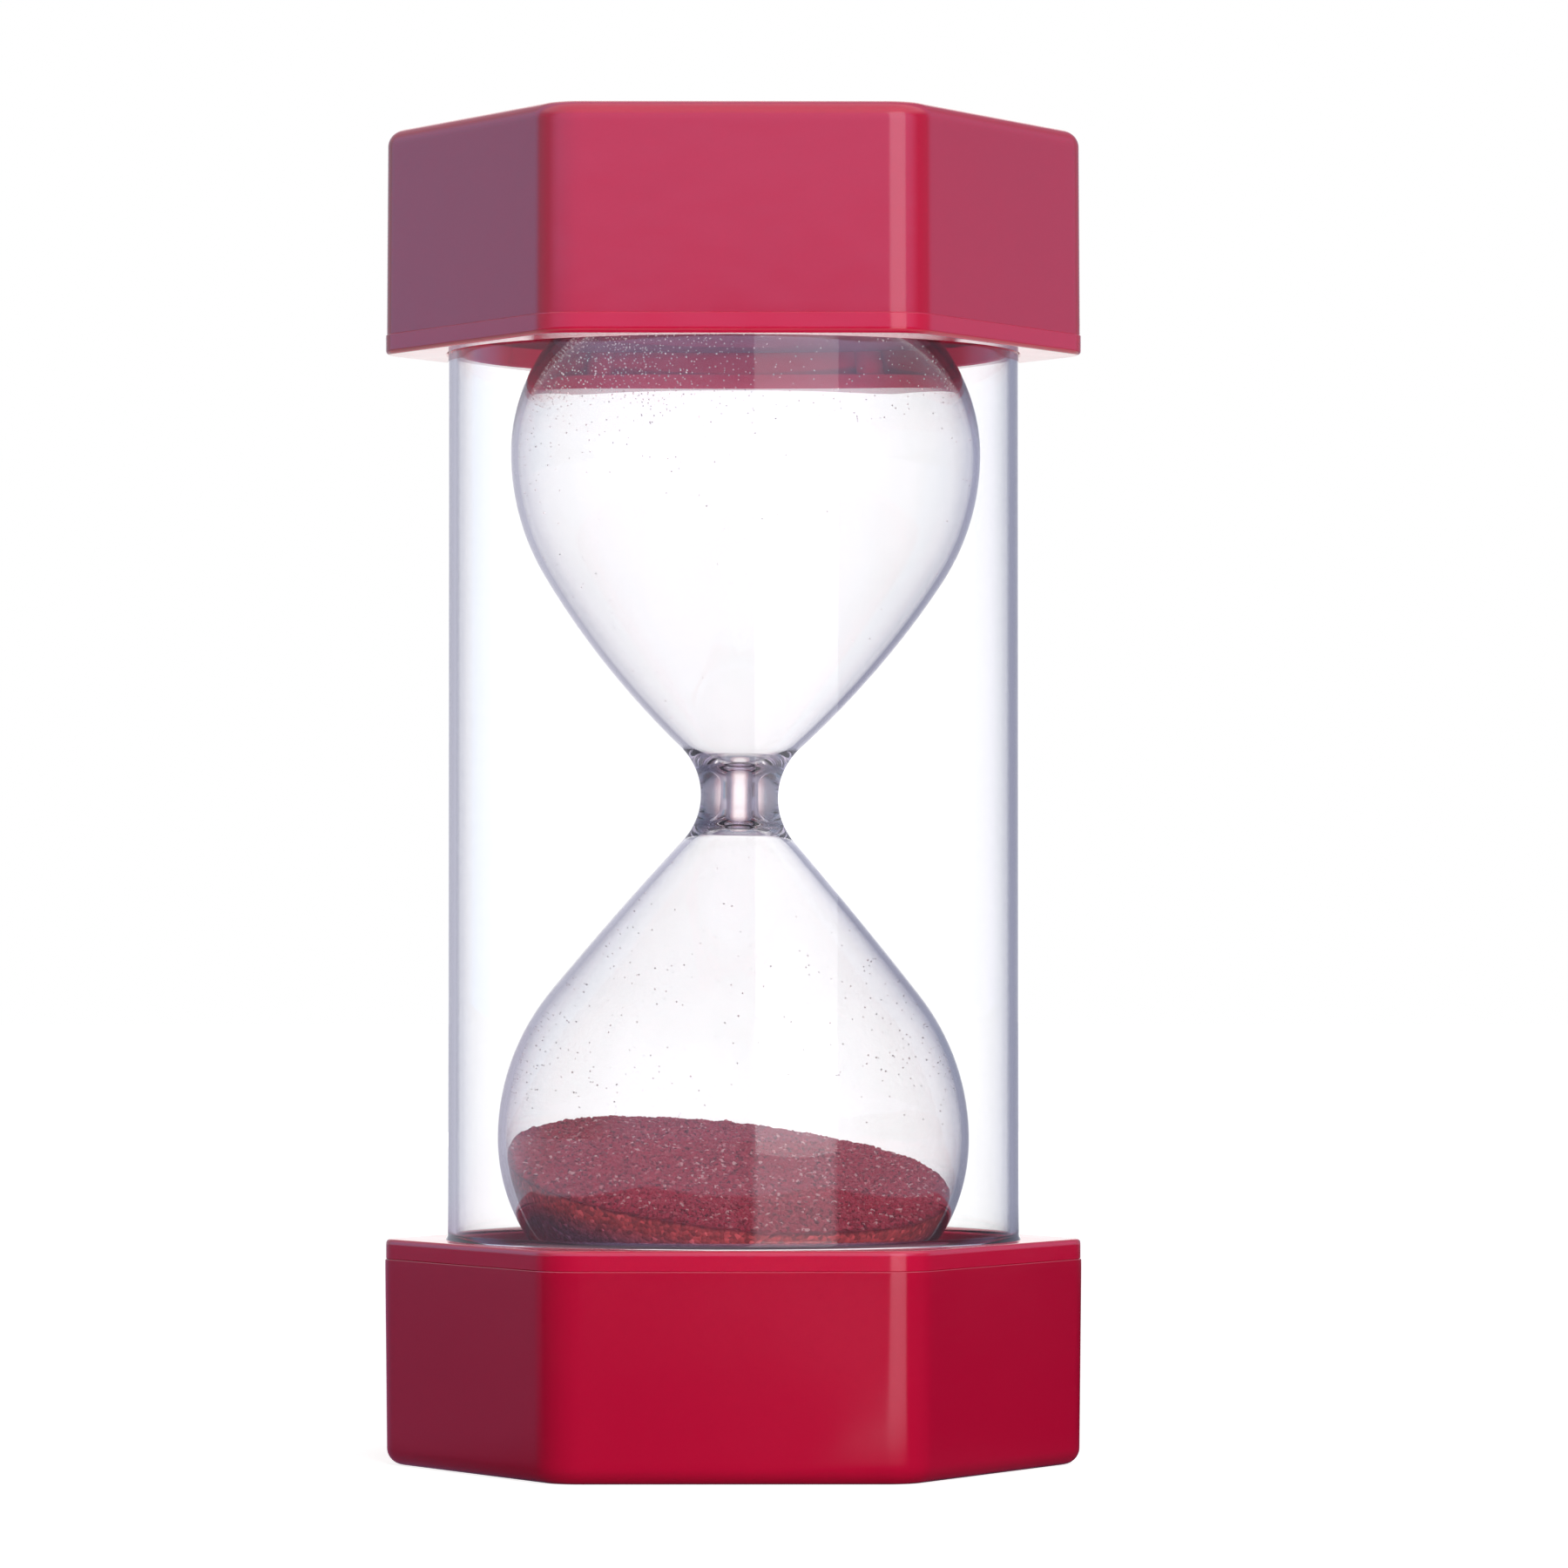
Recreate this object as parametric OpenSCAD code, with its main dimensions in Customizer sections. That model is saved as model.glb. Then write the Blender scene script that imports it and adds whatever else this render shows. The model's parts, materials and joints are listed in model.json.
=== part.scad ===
// Sand timer: a one-piece blown glass vial with loose sand in it, cushioned between two
// hexagonal plastic caps and shielded by a clear guard tube. Either end can be its base.
// Millimetres, +Z up. The origin is the middle of the base, and two flats of the caps face -Y and +Y.

/* [Glass vial] */
// Outside diameter of each glass bulb
bulb_d = 56.5; // [48:0.5:64]
// Distance from the waist to the widest part of each bulb
bulb_rise = 41; // [38:0.5:50]
// Thickness of the glass in the bulbs
glass_wall = 0.8; // [0.6:0.1:1.4]
// Outside diameter of the waist
waist_d = 9.3; // [8:0.1:12]
// Radius of the outward sweep above and below the waist
waist_sweep = 8; // [5:0.5:10]
// Radius of the upper bulb's flank, which bulges
belly_up = 100; // [60:5:400]
// Radius of the lower bulb's flank, which is nearly straight
belly_down = 400; // [60:5:600]
// Diameter of the hole in the waist that the sand runs through
orifice_d = 3.1; // [1:0.1:3.6]
// Straight length of that hole
orifice_len = 3.4; // [1:0.1:5]
// Radius of the funnel at each end of that hole
funnel_r = 2.4; // [2:0.1:4]
// Lean of the vial in its cushions, in degrees towards +X
vial_lean = 1; // [0:0.1:1.5]

/* [Filling spout and plug] */
// Bore of the spout through which the vial is filled
spout_bore = 7.6; // [5:0.1:9]
// Wall of the spout
spout_wall = 1.2; // [0.8:0.1:2]
// Height of the spout above the end of its bulb
spout_h = 9.75; // [6:0.25:14]
// Width of the flat glass round the foot of the spout
spout_ledge = 1.25; // [0.5:0.25:4]
// Length of the plug's shank
plug_shank = 5; // [3:0.5:8]
// Thickness of the plug's head
plug_head_t = 1.75; // [1:0.05:3]
// Overhang of the plug's head past the spout
plug_lip = 0.5; // [0.2:0.1:1.5]
// Radial clearance of the plug in the spout
plug_fit = 0.02; // [0.01:0.01:0.1]

/* [Sand] */
// Depth of the sand on the timer's axis, before its near side slid
sand_depth = 20.3; // [8:0.1:25]
// Slope of the sand's surface, in degrees
sand_lean = 10; // [0:1:20]
// Direction in which the surface falls, in degrees from +X towards +Y
sand_fall = -51; // [-180:1:180]
// Slope of the side that has slid, in degrees
slide_lean = 15; // [0:1:25]
// Direction in which that side falls, in degrees from +X towards +Y
slide_fall = -67; // [-180:1:180]
// How far the slide lies below the surface, on the timer's axis
slide_drop = 1.2; // [0:0.1:4]
// Radius of the crown of the sand's surface
sand_crown_r = 200; // [120:10:400]
// Gap between the sand and the glass
sand_gap = 0.3; // [0.1:0.05:0.6]

/* [Guard tube] */
// Room between the bulbs and the inside of the guard tube
bulb_gap = 5; // [3:0.5:9]
// Wall of the guard tube
tube_wall = 1; // [0.8:0.1:1.8]
// Width of the flare where the tube leaves the lower cap
flare_w = 0.5; // [0.2:0.1:1]
// Height of that flare
flare_h = 1.2; // [0.8:0.1:5]

/* [Caps] */
// Height of a cap together with its cover ring
cap_h = 27; // [23:0.5:34]
// Wall of a cap
cap_wall = 2.1; // [1.6:0.1:3]
// Thickness of a cap's floor
floor_t = 2; // [1.5:0.1:3]
// Room between the guard tube and a cap's flats
tube_gap = 0.6; // [0.2:0.05:0.8]
// Radius of a cap's upright edges
corner_r = 6; // [5:0.5:8]
// Rounding of the edge between a cap's sides and its outer face
edge_r = 2; // [1.5:0.5:4]
// How far each side leans in between the rim and the outer face
draft = 0.2; // [0.1:0.1:0.8]

/* [Cover rings] */
// Thickness of a cover ring
cover_t = 2.4; // [1.8:0.1:3.6]
// Bevel round the exposed edge of a cover ring
cover_bevel = 0.5; // [0.2:0.1:0.8]
// Radial clearance of the guard tube in a cover ring
cover_fit = 0.1; // [0.05:0.05:0.3]
// Diameter of the pegs that hold a cover ring in its cap
peg_d = 2.2; // [1.6:0.1:3]
// Length of the pegs
peg_len = 7; // [4:0.5:12]
// Radial clearance of a peg in its socket
peg_fit = 0.05; // [0.02:0.01:0.1]
// Free depth of a socket beyond its peg
socket_spare = 1; // [0.5:0.5:3]
// Wall of the posts that the sockets are in
post_wall = 0.9; // [0.7:0.1:1.5]
// Room between the posts and the guard tube
post_gap = 0.6; // [0.4:0.1:1.2]
// Thickness of the web between a post and its corner
web_t = 1.6; // [1:0.1:2.5]

/* [Cushions] */
// Thickness of the soft pad on a cap's floor
pad_t = 1.5; // [1:0.1:3]
// How far a cradle reaches up its bulb, from the bulb's end
cradle_wrap = 5; // [3.5:0.5:8]
// Width of the flat top of a cradle
cradle_rim = 6.5; // [3:0.5:9]
// Gap between a cradle and its bulb
cradle_gap = 0.2; // [0.1:0.05:0.4]
// Room round the plug's head inside a cradle
plug_room = 3.5; // [1.5:0.5:4.5]
// Room between the plug's head and the pad
plug_gap = 2; // [1:0.5:4]

/* [Hidden] */

// Smoothness of round solids, and of the rounded corners that are hulled
$fn = 96;
corner_fn = 36;
// Largest step along an arc of a turned profile, in degrees
arc_step = 5;
// Depth by which a cutter runs past the face that it opens
overrun = 1;
// Sides of a cap, and the angle between its corners
sides = 6;
side_angle = 360 / sides;

bulb_r = bulb_d / 2;
spout_r = spout_bore / 2 + spout_wall;
plug_head_r = spout_r + plug_lip;
// Each bulb ends in a flat disc of this radius, rounded into its widest part by an arc
end_flat_r = spout_r + spout_ledge;
end_r = bulb_r - end_flat_r;

// From the outer face of a cap to the near end of its bulb
bulb_seat = floor_t + pad_t + plug_gap + plug_head_t + spout_h;
total_h = 2 * (bulb_rise + end_r + bulb_seat);
waist_z = total_h / 2;

tube_r = bulb_r + bulb_gap + tube_wall;
tube_foot = floor_t + pad_t;

// Half the width across flats, at the rim
rim_apothem = tube_r + tube_gap + cap_wall;
cup_h = cap_h - cover_t;

post_r = peg_d / 2 + peg_fit + post_wall;
post_c = tube_r + post_gap + post_r;

// Distance from the axis to the centre of the sweep out of the waist
sweep_c = waist_d / 2 + waist_sweep;

cap_red = [0.70, 0.07, 0.21];
clear_plastic = [0.86, 0.90, 0.96, 0.25];
clear_glass = [0.90, 0.93, 0.95, 0.30];
sand_red = [0.55, 0.24, 0.27];
foam_rose = [0.64, 0.25, 0.37];
plug_ivory = [0.90, 0.86, 0.76];

// Points on an arc about c from angle a to angle b, both ends included unless the first point is skipped
function arc(c, r, a, b, skip = 0) =
    let (steps = ceil(abs(b - a) / arc_step))
    [for (i = [skip : steps]) let (t = a + (b - a) * i / steps) c + r * [cos(t), sin(t)]];

function reversed(points) = [for (i = [len(points) - 1 : -1 : 0]) points[i]];

// The same points upside down, in reverse order
function flipped(points) = [for (p = reversed(points)) [p.x, -p.y]];

// Distance from the axis to the centre of a rounded corner
function corner_c(apothem, r) = (apothem - r) / cos(side_angle / 2);

// Centre of a flank's arc, which touches its bulb and the sweep out of the waist. The waist is at height 0.
function belly_c(belly) =
    let (bulb = [0, bulb_rise],
         reach = [sweep_c, 0] - bulb,
         near = belly - bulb_r,
         far = belly + waist_sweep,
         share = (pow(norm(reach), 2) + pow(near, 2) - pow(far, 2)) / (2 * norm(reach) * near),
         turn = atan2(reach.y, reach.x) - acos(share))
    bulb + near * [cos(turn), sin(turn)];

// Angle below the widest part of a bulb at which its flank starts
function belly_a(belly) =
    let (c = belly_c(belly))
    atan2(c.y - bulb_rise, -c.x);

// A bulb's wall at a depth in the glass, from an angle below its widest part to the flat end
function bulb_wall(depth, low_a, skip = 0) = concat(
    arc([0, bulb_rise], bulb_r - depth, -low_a, 0, skip),
    arc([end_flat_r, bulb_rise], end_r - depth, 0, 90, skip = 1));

// The outside of half a vial, from the waist to the flat end
function half_outside(belly) =
    let (c = belly_c(belly),
         low_a = belly_a(belly),
         foot_a = atan2(c.y, sweep_c - c.x))
    concat(
        arc([sweep_c, 0], waist_sweep, 180, 180 - foot_a, skip = 1),
        arc(c, belly, -foot_a, -low_a, skip = 1),
        bulb_wall(0, low_a, skip = 1));

// The inside of half a vial, from the hole to the flat end. The funnel opens on a flat shoulder if there is
// room for one between its mouth and the flank.
function half_inside(belly) =
    let (c = belly_c(belly),
         low_a = belly_a(belly),
         flank_r = belly - glass_wall,
         mouth_r = orifice_d / 2 + funnel_r,
         shoulder_z = orifice_len / 2 + funnel_r,
         foot_a = min(asin((c.y - shoulder_z) / flank_r), acos((mouth_r - c.x) / flank_r)))
    concat(
        arc([mouth_r, orifice_len / 2], funnel_r, 180, 90),
        arc(c, flank_r, -foot_a, -low_a),
        bulb_wall(glass_wall, low_a, skip = 1));

// Puts a piece of the lower end on the upper end
module at_top() {
    translate([0, 0, total_h]) rotate([180, 0, 0]) children();
}

// Puts a piece drawn about the waist, with the waist at height 0, where the leaning vial has it.
// The vial leans about the middle of its lower bulb.
module in_vial() {
    translate([0, 0, waist_z - bulb_rise]) rotate([0, vial_lean, 0]) translate([0, 0, bulb_rise]) children();
}

module each_corner(c) {
    for (i = [0 : sides - 1]) rotate(i * side_angle) translate([c, 0, 0]) children();
}

// A hexagonal cup with rounded upright edges, a rounded floor edge, and a socket post in each corner
module cap() {
    cavity_r = corner_r - cap_wall;
    cavity_c = corner_c(rim_apothem - cap_wall, cavity_r);
    web_len = cavity_c + cavity_r + cap_wall / 2 - post_c;
    post_foot = floor_t / 2;
    socket_depth = peg_len + socket_spare;
    color(cap_red) difference() {
        union() {
            difference() {
                hull() {
                    each_corner(corner_c(rim_apothem - draft, corner_r))
                        translate([0, 0, edge_r])
                        rotate_extrude($fn = corner_fn)
                        translate([corner_r - edge_r, 0])
                        circle(edge_r, $fn = corner_fn);
                    each_corner(corner_c(rim_apothem, corner_r))
                        translate([0, 0, cup_h - overrun])
                        cylinder(r = corner_r, h = overrun, $fn = corner_fn);
                }
                hull() each_corner(cavity_c)
                    translate([0, 0, floor_t])
                    cylinder(r = cavity_r, h = cup_h, $fn = corner_fn);
            }
            each_corner(post_c) translate([0, 0, post_foot]) {
                cylinder(r = post_r, h = cup_h - post_foot);
                translate([0, -web_t / 2, 0]) cube([web_len, web_t, cup_h - post_foot]);
            }
        }
        each_corner(post_c)
            translate([0, 0, cup_h - socket_depth])
            cylinder(r = peg_d / 2 + peg_fit, h = socket_depth + overrun);
    }
}

// A hexagonal ring that closes the corners of a cap round the guard tube, with a peg under each corner
module cover() {
    color(cap_red) difference() {
        union() {
            hull() each_corner(corner_c(rim_apothem, corner_r)) translate([0, 0, cup_h]) {
                cylinder(r = corner_r, h = cover_t - cover_bevel, $fn = corner_fn);
                cylinder(r = corner_r - cover_bevel, h = cover_t, $fn = corner_fn);
            }
            each_corner(post_c)
                translate([0, 0, cup_h - peg_len])
                cylinder(r = peg_d / 2, h = peg_len + cover_t / 2);
        }
        translate([0, 0, cup_h - overrun])
            cylinder(r = tube_r + cover_fit, h = cover_t + 2 * overrun);
    }
}

// A soft disc on the cap's floor, which the guard tube and the cradle stand on
module pad() {
    color(foam_rose) translate([0, 0, floor_t]) cylinder(r = tube_r, h = pad_t);
}

// A soft block under the end of a bulb, before its dish is cut
module cradle_block() {
    mouth_a = asin((end_r - cradle_wrap) / (end_r + cradle_gap));
    outer_r = end_flat_r + (end_r + cradle_gap) * cos(mouth_a) + cradle_rim;
    translate([0, 0, tube_foot]) cylinder(r = outer_r, h = bulb_seat + cradle_wrap - tube_foot);
}

// The dish that the lower end of the vial takes out of its cradle, with the hole for the plug
module cradle_dish() {
    hole_r = plug_head_r + plug_room;
    hole_z = -waist_z;
    dish_r = end_r + cradle_gap;
    hole_a = -acos((hole_r - end_flat_r) / dish_r);
    dish = arc([end_flat_r, -bulb_rise], dish_r, hole_a, 0);
    rotate_extrude() polygon(concat([[0, hole_z], [hole_r, hole_z]], dish, [[0, -bulb_rise]]));
}

// A soft ring with a dished top that the end of a bulb sits in, open in the middle for the plug
module lower_cradle() {
    color(foam_rose) difference() {
        cradle_block();
        in_vial() cradle_dish();
    }
}

module upper_cradle() {
    color(foam_rose) difference() {
        at_top() cradle_block();
        in_vial() rotate([180, 0, 0]) cradle_dish();
    }
}

// A clear sleeve that stands on the two pads, slightly flared where it comes out of the lower cover ring
module guard_tube() {
    flare_r = (pow(flare_h, 2) + pow(flare_w, 2)) / (2 * flare_w);
    flare_a = asin(flare_h / flare_r);
    end_z = waist_z - tube_foot;
    face_z = waist_z - cap_h;
    flare = arc([tube_r + flare_r, face_z - flare_h], flare_r, 180, 180 - flare_a);
    outside = concat([[tube_r, -end_z], [tube_r, -face_z]], flipped(flare), [[tube_r, end_z]]);
    bore_r = tube_r - tube_wall;
    color(clear_plastic) translate([0, 0, waist_z]) rotate_extrude()
        polygon(concat([[bore_r, end_z], [bore_r, -end_z]], outside));
}

// One piece of glass: two bulbs joined by a thick waist with a fine hole, and a filling spout on the upper end
module glass_vial() {
    end_z = bulb_rise + end_r;
    spout_top = end_z + spout_h;
    spout = [[spout_r, end_z], [spout_r, spout_top],
             [spout_bore / 2, spout_top], [spout_bore / 2, end_z - glass_wall]];
    color(clear_glass) in_vial() rotate_extrude()
        polygon(concat(
            [[0, -end_z]], flipped(half_outside(belly_down)),
            [[waist_d / 2, 0]], half_outside(belly_up), spout,
            reversed(half_inside(belly_up)), [for (p = half_inside(belly_down)) [p.x, -p.y]],
            [[0, glass_wall - end_z]]));
}

// A stopper pushed into the filling spout
module filler_plug() {
    rim_z = bulb_rise + end_r + spout_h;
    color(plug_ivory) in_vial() {
        translate([0, 0, rim_z - plug_shank])
            cylinder(r = spout_bore / 2 - plug_fit, h = plug_shank + plug_head_t / 2);
        translate([0, 0, rim_z])
            cylinder(r = plug_head_r, h = plug_head_t);
    }
}

// A wide ball whose top is a leaning, slightly crowned surface at a height on the timer's axis
module sand_crown(height, lean, fall) {
    translate([0, 0, height])
        rotate([0, lean, fall])
        translate([0, 0, -sand_crown_r])
        sphere(r = sand_crown_r);
}

// The sand that has run down, with a surface that leans and is steeper where it has slid
module sand_heap() {
    depth = glass_wall + sand_gap;
    wall = [for (p = bulb_wall(depth, belly_a(belly_down))) [p.x, -p.y]];
    floor_z = -(bulb_rise + end_r - depth);
    surface_z = waist_z - bulb_rise - end_r + glass_wall + sand_depth;
    color(sand_red) intersection() {
        in_vial() rotate_extrude()
            polygon(concat([[0, floor_z], [0, wall[0].y]], wall));
        sand_crown(surface_z, sand_lean, sand_fall);
        sand_crown(surface_z - slide_drop, slide_lean, slide_fall);
    }
}

cap();  // lower_cap
cover();  // lower_cover
pad();  // lower_pad
lower_cradle();
guard_tube();
glass_vial();
filler_plug();
sand_heap();
upper_cradle();
at_top() pad();  // upper_pad
at_top() cover();  // upper_cover
at_top() cap();  // upper_cap
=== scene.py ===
import json
import math
import bmesh
import bpy
from mathutils import Matrix, Vector, noise


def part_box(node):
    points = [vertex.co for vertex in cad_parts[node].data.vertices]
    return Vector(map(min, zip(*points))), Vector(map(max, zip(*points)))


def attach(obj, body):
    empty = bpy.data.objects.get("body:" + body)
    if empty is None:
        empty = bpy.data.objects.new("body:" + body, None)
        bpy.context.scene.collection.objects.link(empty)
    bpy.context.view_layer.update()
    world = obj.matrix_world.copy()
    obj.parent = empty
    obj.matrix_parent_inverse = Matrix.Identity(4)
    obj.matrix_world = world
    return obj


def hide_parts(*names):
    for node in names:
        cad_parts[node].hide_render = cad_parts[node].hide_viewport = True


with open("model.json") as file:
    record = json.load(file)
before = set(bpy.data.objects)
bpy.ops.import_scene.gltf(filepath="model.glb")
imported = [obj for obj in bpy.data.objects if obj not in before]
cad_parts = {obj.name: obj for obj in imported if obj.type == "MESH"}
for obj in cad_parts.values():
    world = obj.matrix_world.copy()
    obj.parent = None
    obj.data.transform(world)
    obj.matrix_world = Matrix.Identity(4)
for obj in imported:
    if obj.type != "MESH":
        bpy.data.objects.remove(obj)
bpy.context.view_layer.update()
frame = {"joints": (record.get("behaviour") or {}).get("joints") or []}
mm = 0.001
white = (1, 1, 1, 1)

# Sizes that the frame gives
capBox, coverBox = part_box("lower_cap"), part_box("lower_cover")
tubeBox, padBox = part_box("guard_tube"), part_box("lower_pad")
cradleBox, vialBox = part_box("lower_cradle"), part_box("glass_vial")
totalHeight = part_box("upper_cap")[1].z
waistHeight = totalHeight / 2
rimApothem = capBox[1].y  # half the width across flats
seamHeight = capBox[1].z  # where a cover ring sits on its cap
openHeight = coverBox[1].z  # the cover ring's exposed face
tubeRadius = padBox[1].x
tubeFoot = tubeBox[0].z
bulbRadius = vialBox[1].y
swirl = frame["joints"][0]
bulbCentre = Vector(swirl["pos_m"])  # middle of the lower bulb
vialAxis = Vector(swirl["axis"])
bulbRise = waistHeight - bulbCentre.z
upright = Vector((0, 0, 1))

# From the lower end to the upper end, and from a vial drawn about its waist to the leaning one
turnOver = Matrix.Rotation(math.pi, 4, "X")
turnUp = Matrix.Translation((0, 0, totalHeight)) @ turnOver
leanTurn = (Matrix.Translation(bulbCentre) @ upright.rotation_difference(vialAxis).to_matrix().to_4x4()
            @ Matrix.Translation((0, 0, bulbRise)))


def keepShare(value):
    return min(1.0, max(0.0, value))


def polar(radius, angle, height=0.0):
    return Vector((radius * math.cos(angle), radius * math.sin(angle), height))


def fullTurn(steps):
    return [math.tau * i / steps for i in range(steps)]


def quarterTurn(steps):
    return [math.pi / 2 * i / steps for i in range(steps + 1)]


def arcPoints(centreR, centreZ, radius, startDeg, endDeg, stepDeg=2.5):
    steps = max(2, math.ceil(abs(endDeg - startDeg) / stepDeg))
    angles = [math.radians(startDeg + (endDeg - startDeg) * i / steps) for i in range(steps + 1)]
    return [(centreR + radius * math.cos(a), centreZ + radius * math.sin(a)) for a in angles]


# Rounds the corner of a profile between two neighbours
def softCorner(before, corner, after, radius, steps):
    p, q, r = Vector(before), Vector(corner), Vector(after)
    inward, outward = (p - q).normalized(), (r - q).normalized()
    half = inward.angle(outward) / 2
    reach = radius / math.tan(half)
    centre = q + (inward + outward).normalized() * (radius / math.sin(half))
    first, last = q + inward * reach - centre, q + outward * reach - centre
    turn = first.angle_signed(last)
    return [tuple(centre + Matrix.Rotation(-turn * i / steps, 2) @ first) for i in range(steps + 1)]


# Rounds every corner of a run of points, apart from its two ends
def softRun(points, radius, steps):
    corners = zip(points, points[1:], points[2:])
    return [p for corner in corners for p in softCorner(*corner, radius, steps)]


# Adds points beside the ends of long straight runs, so that smooth shading keeps them straight
def steadyRuns(profile, gap):
    points = [profile[0]]
    for start, end in zip(profile, profile[1:]):
        length = math.dist(start, end)
        for share in (gap / length, 0.5, 1 - gap / length) if length > 3 * gap else ():
            points.append((start[0] + (end[0] - start[0]) * share, start[1] + (end[1] - start[1]) * share))
        points.append(end)
    return points


def newMesh(name, points, faces):
    mesh = bpy.data.meshes.new(name)
    mesh.from_pydata([tuple(p) for p in points], [], faces)
    return mesh


# Closes the mesh, turns its faces outwards and keeps edges sharper than the angle crisp
def finishMesh(mesh, sharpAngle=40):
    work = bmesh.new()
    work.from_mesh(mesh)
    bmesh.ops.remove_doubles(work, verts=work.verts, dist=1e-7)
    bmesh.ops.recalc_face_normals(work, faces=work.faces)
    work.to_mesh(mesh)
    work.free()
    mesh.polygons.foreach_set("use_smooth", [True] * len(mesh.polygons))
    mesh.set_sharp_from_angle(angle=math.radians(sharpAngle))
    mesh.update()
    return mesh


def markPoints(mesh, label, values):
    mesh.attributes.new(label, "FLOAT", "POINT").data.foreach_set("value", values)


# Turns a profile of (radius, height) points about the axis; a point on the axis becomes a pole
def turnProfile(name, profile, turns, closed=False):
    points, rings, faces = [], [], []
    for radius, height in profile:
        if radius < 1e-7:
            rings.append([len(points)] * turns)
            points.append((0, 0, height))
            continue
        rings.append(list(range(len(points), len(points) + turns)))
        points += [polar(radius, a, height) for a in fullTurn(turns)]
    pairs = list(zip(rings, rings[1:])) + ([(rings[-1], rings[0])] if closed else [])
    for low, high in pairs:
        for i in range(turns):
            j = (i + 1) % turns
            face = list(dict.fromkeys((low[i], low[j], high[j], high[i])))
            if len(face) > 2:
                faces.append(face)
    return newMesh(name, points, faces)


# Bridges loops of equal length; the first and last are capped, or joined to each other
def stackLoops(name, loops, wrap=False):
    count = len(loops[0])
    faces = []
    pairs = [(i, i + 1) for i in range(len(loops) - 1)] + ([(len(loops) - 1, 0)] if wrap else [])
    for low, high in pairs:
        for i in range(count):
            j = (i + 1) % count
            faces.append((low * count + i, low * count + j, high * count + j, high * count + i))
    if not wrap:
        faces.append(tuple(range(count)))
        faces.append(tuple(range((len(loops) - 1) * count, len(loops) * count)))
    return newMesh(name, [p for loop in loops for p in loop], faces)


def placeObject(name, data):
    piece = bpy.data.objects.new(name, data)
    bpy.context.scene.collection.objects.link(piece)
    return piece


def placeMesh(name, mesh, material):
    mesh.materials.clear()
    mesh.materials.append(material)
    return placeObject(name, mesh)


# A finished piece: it takes a finish, rides on a body and may stand for a node
def addPiece(name, mesh, material, body, node=None):
    piece = placeMesh(name, mesh, material)
    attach(piece, body)
    if node:
        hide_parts(node)
    return piece


# Sets a node's inputs to constants, or links them to the outputs of other nodes
def setInputs(tree, node, values):
    for key, value in values.items():
        if isinstance(value, bpy.types.NodeSocket):
            tree.links.new(value, node.inputs[key])
        else:
            node.inputs[key].default_value = value


def addNode(tree, kind, settings=None, inputs=None):
    node = tree.nodes.new(kind)
    for key, value in (settings or {}).items():
        setattr(node, key, value)
    setInputs(tree, node, inputs or {})
    return node


def addMath(tree, operation, *values, clamp=False):
    settings = {"operation": operation, "use_clamp": clamp}
    return addNode(tree, "ShaderNodeMath", settings, dict(enumerate(values))).outputs["Value"]


def addProduct(tree, first, *others):
    for value in others:
        first = addMath(tree, "MULTIPLY", first, value)
    return first


def addScaled(tree, value, factor, offset):
    return addMath(tree, "ADD", addMath(tree, "MULTIPLY", value, factor), offset)


def addMix(tree, factor, first, second, blend="MIX"):
    settings = {"data_type": "RGBA", "blend_type": blend}
    return addNode(tree, "ShaderNodeMix", settings, {0: factor, 6: first, 7: second}).outputs[2]


def addRamp(tree, source, stops):
    ramp = addNode(tree, "ShaderNodeValToRGB", inputs={"Fac": source})
    while len(ramp.color_ramp.elements) < len(stops):
        ramp.color_ramp.elements.new(0.5)
    for element, (position, colour) in zip(ramp.color_ramp.elements, stops):
        element.position = position
        element.color = colour if isinstance(colour, tuple) else (colour, colour, colour, 1)
    return ramp.outputs["Color"]


# Eases from 0 to 1 as the value goes from the span's start to its end
def addStep(tree, value, span):
    inputs = {"Value": value, "From Min": span[0], "From Max": span[1]}
    return addNode(tree, "ShaderNodeMapRange", {"interpolation_type": "SMOOTHSTEP"}, inputs).outputs["Result"]


def addPlace(tree):
    return addNode(tree, "ShaderNodeTexCoord").outputs["Object"]


def addSplit(tree, vector):
    return addNode(tree, "ShaderNodeSeparateXYZ", inputs={"Vector": vector}).outputs


def addNoise(tree, vector, scale, detail, roughness=0.55):
    inputs = {"Vector": vector, "Scale": scale, "Detail": detail, "Roughness": roughness}
    return addNode(tree, "ShaderNodeTexNoise", inputs=inputs).outputs["Fac"]


# Noise whose scale differs from axis to axis
def addStreaks(tree, vector, scales, roughness=0.55):
    stretched = addNode(tree, "ShaderNodeMapping", inputs={"Vector": vector, "Scale": scales})
    return addNoise(tree, stretched.outputs["Vector"], 1, 4, roughness)


def addCells(tree, vector, scale):
    return addNode(tree, "ShaderNodeTexVoronoi", inputs={"Vector": vector, "Scale": scale}).outputs


def addFacing(tree):
    return addNode(tree, "ShaderNodeLayerWeight", inputs={"Blend": 0.5}).outputs["Facing"]


def addAttribute(tree, label):
    return addNode(tree, "ShaderNodeAttribute", {"attribute_name": label}).outputs["Fac"]


def addBump(tree, height, strength, distance, invert=False):
    inputs = {"Height": height, "Strength": strength, "Distance": distance}
    return addNode(tree, "ShaderNodeBump", {"invert": invert}, inputs).outputs["Normal"]


def newMaterial(name, settings):
    material = bpy.data.materials.new(name)
    material.use_nodes = True
    tree = material.node_tree
    tree.nodes.clear()
    shader = addNode(tree, "ShaderNodeBsdfPrincipled", inputs=settings)
    addNode(tree, "ShaderNodeOutputMaterial", inputs={"Surface": shader.outputs["BSDF"]})
    return material, tree, shader


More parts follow.
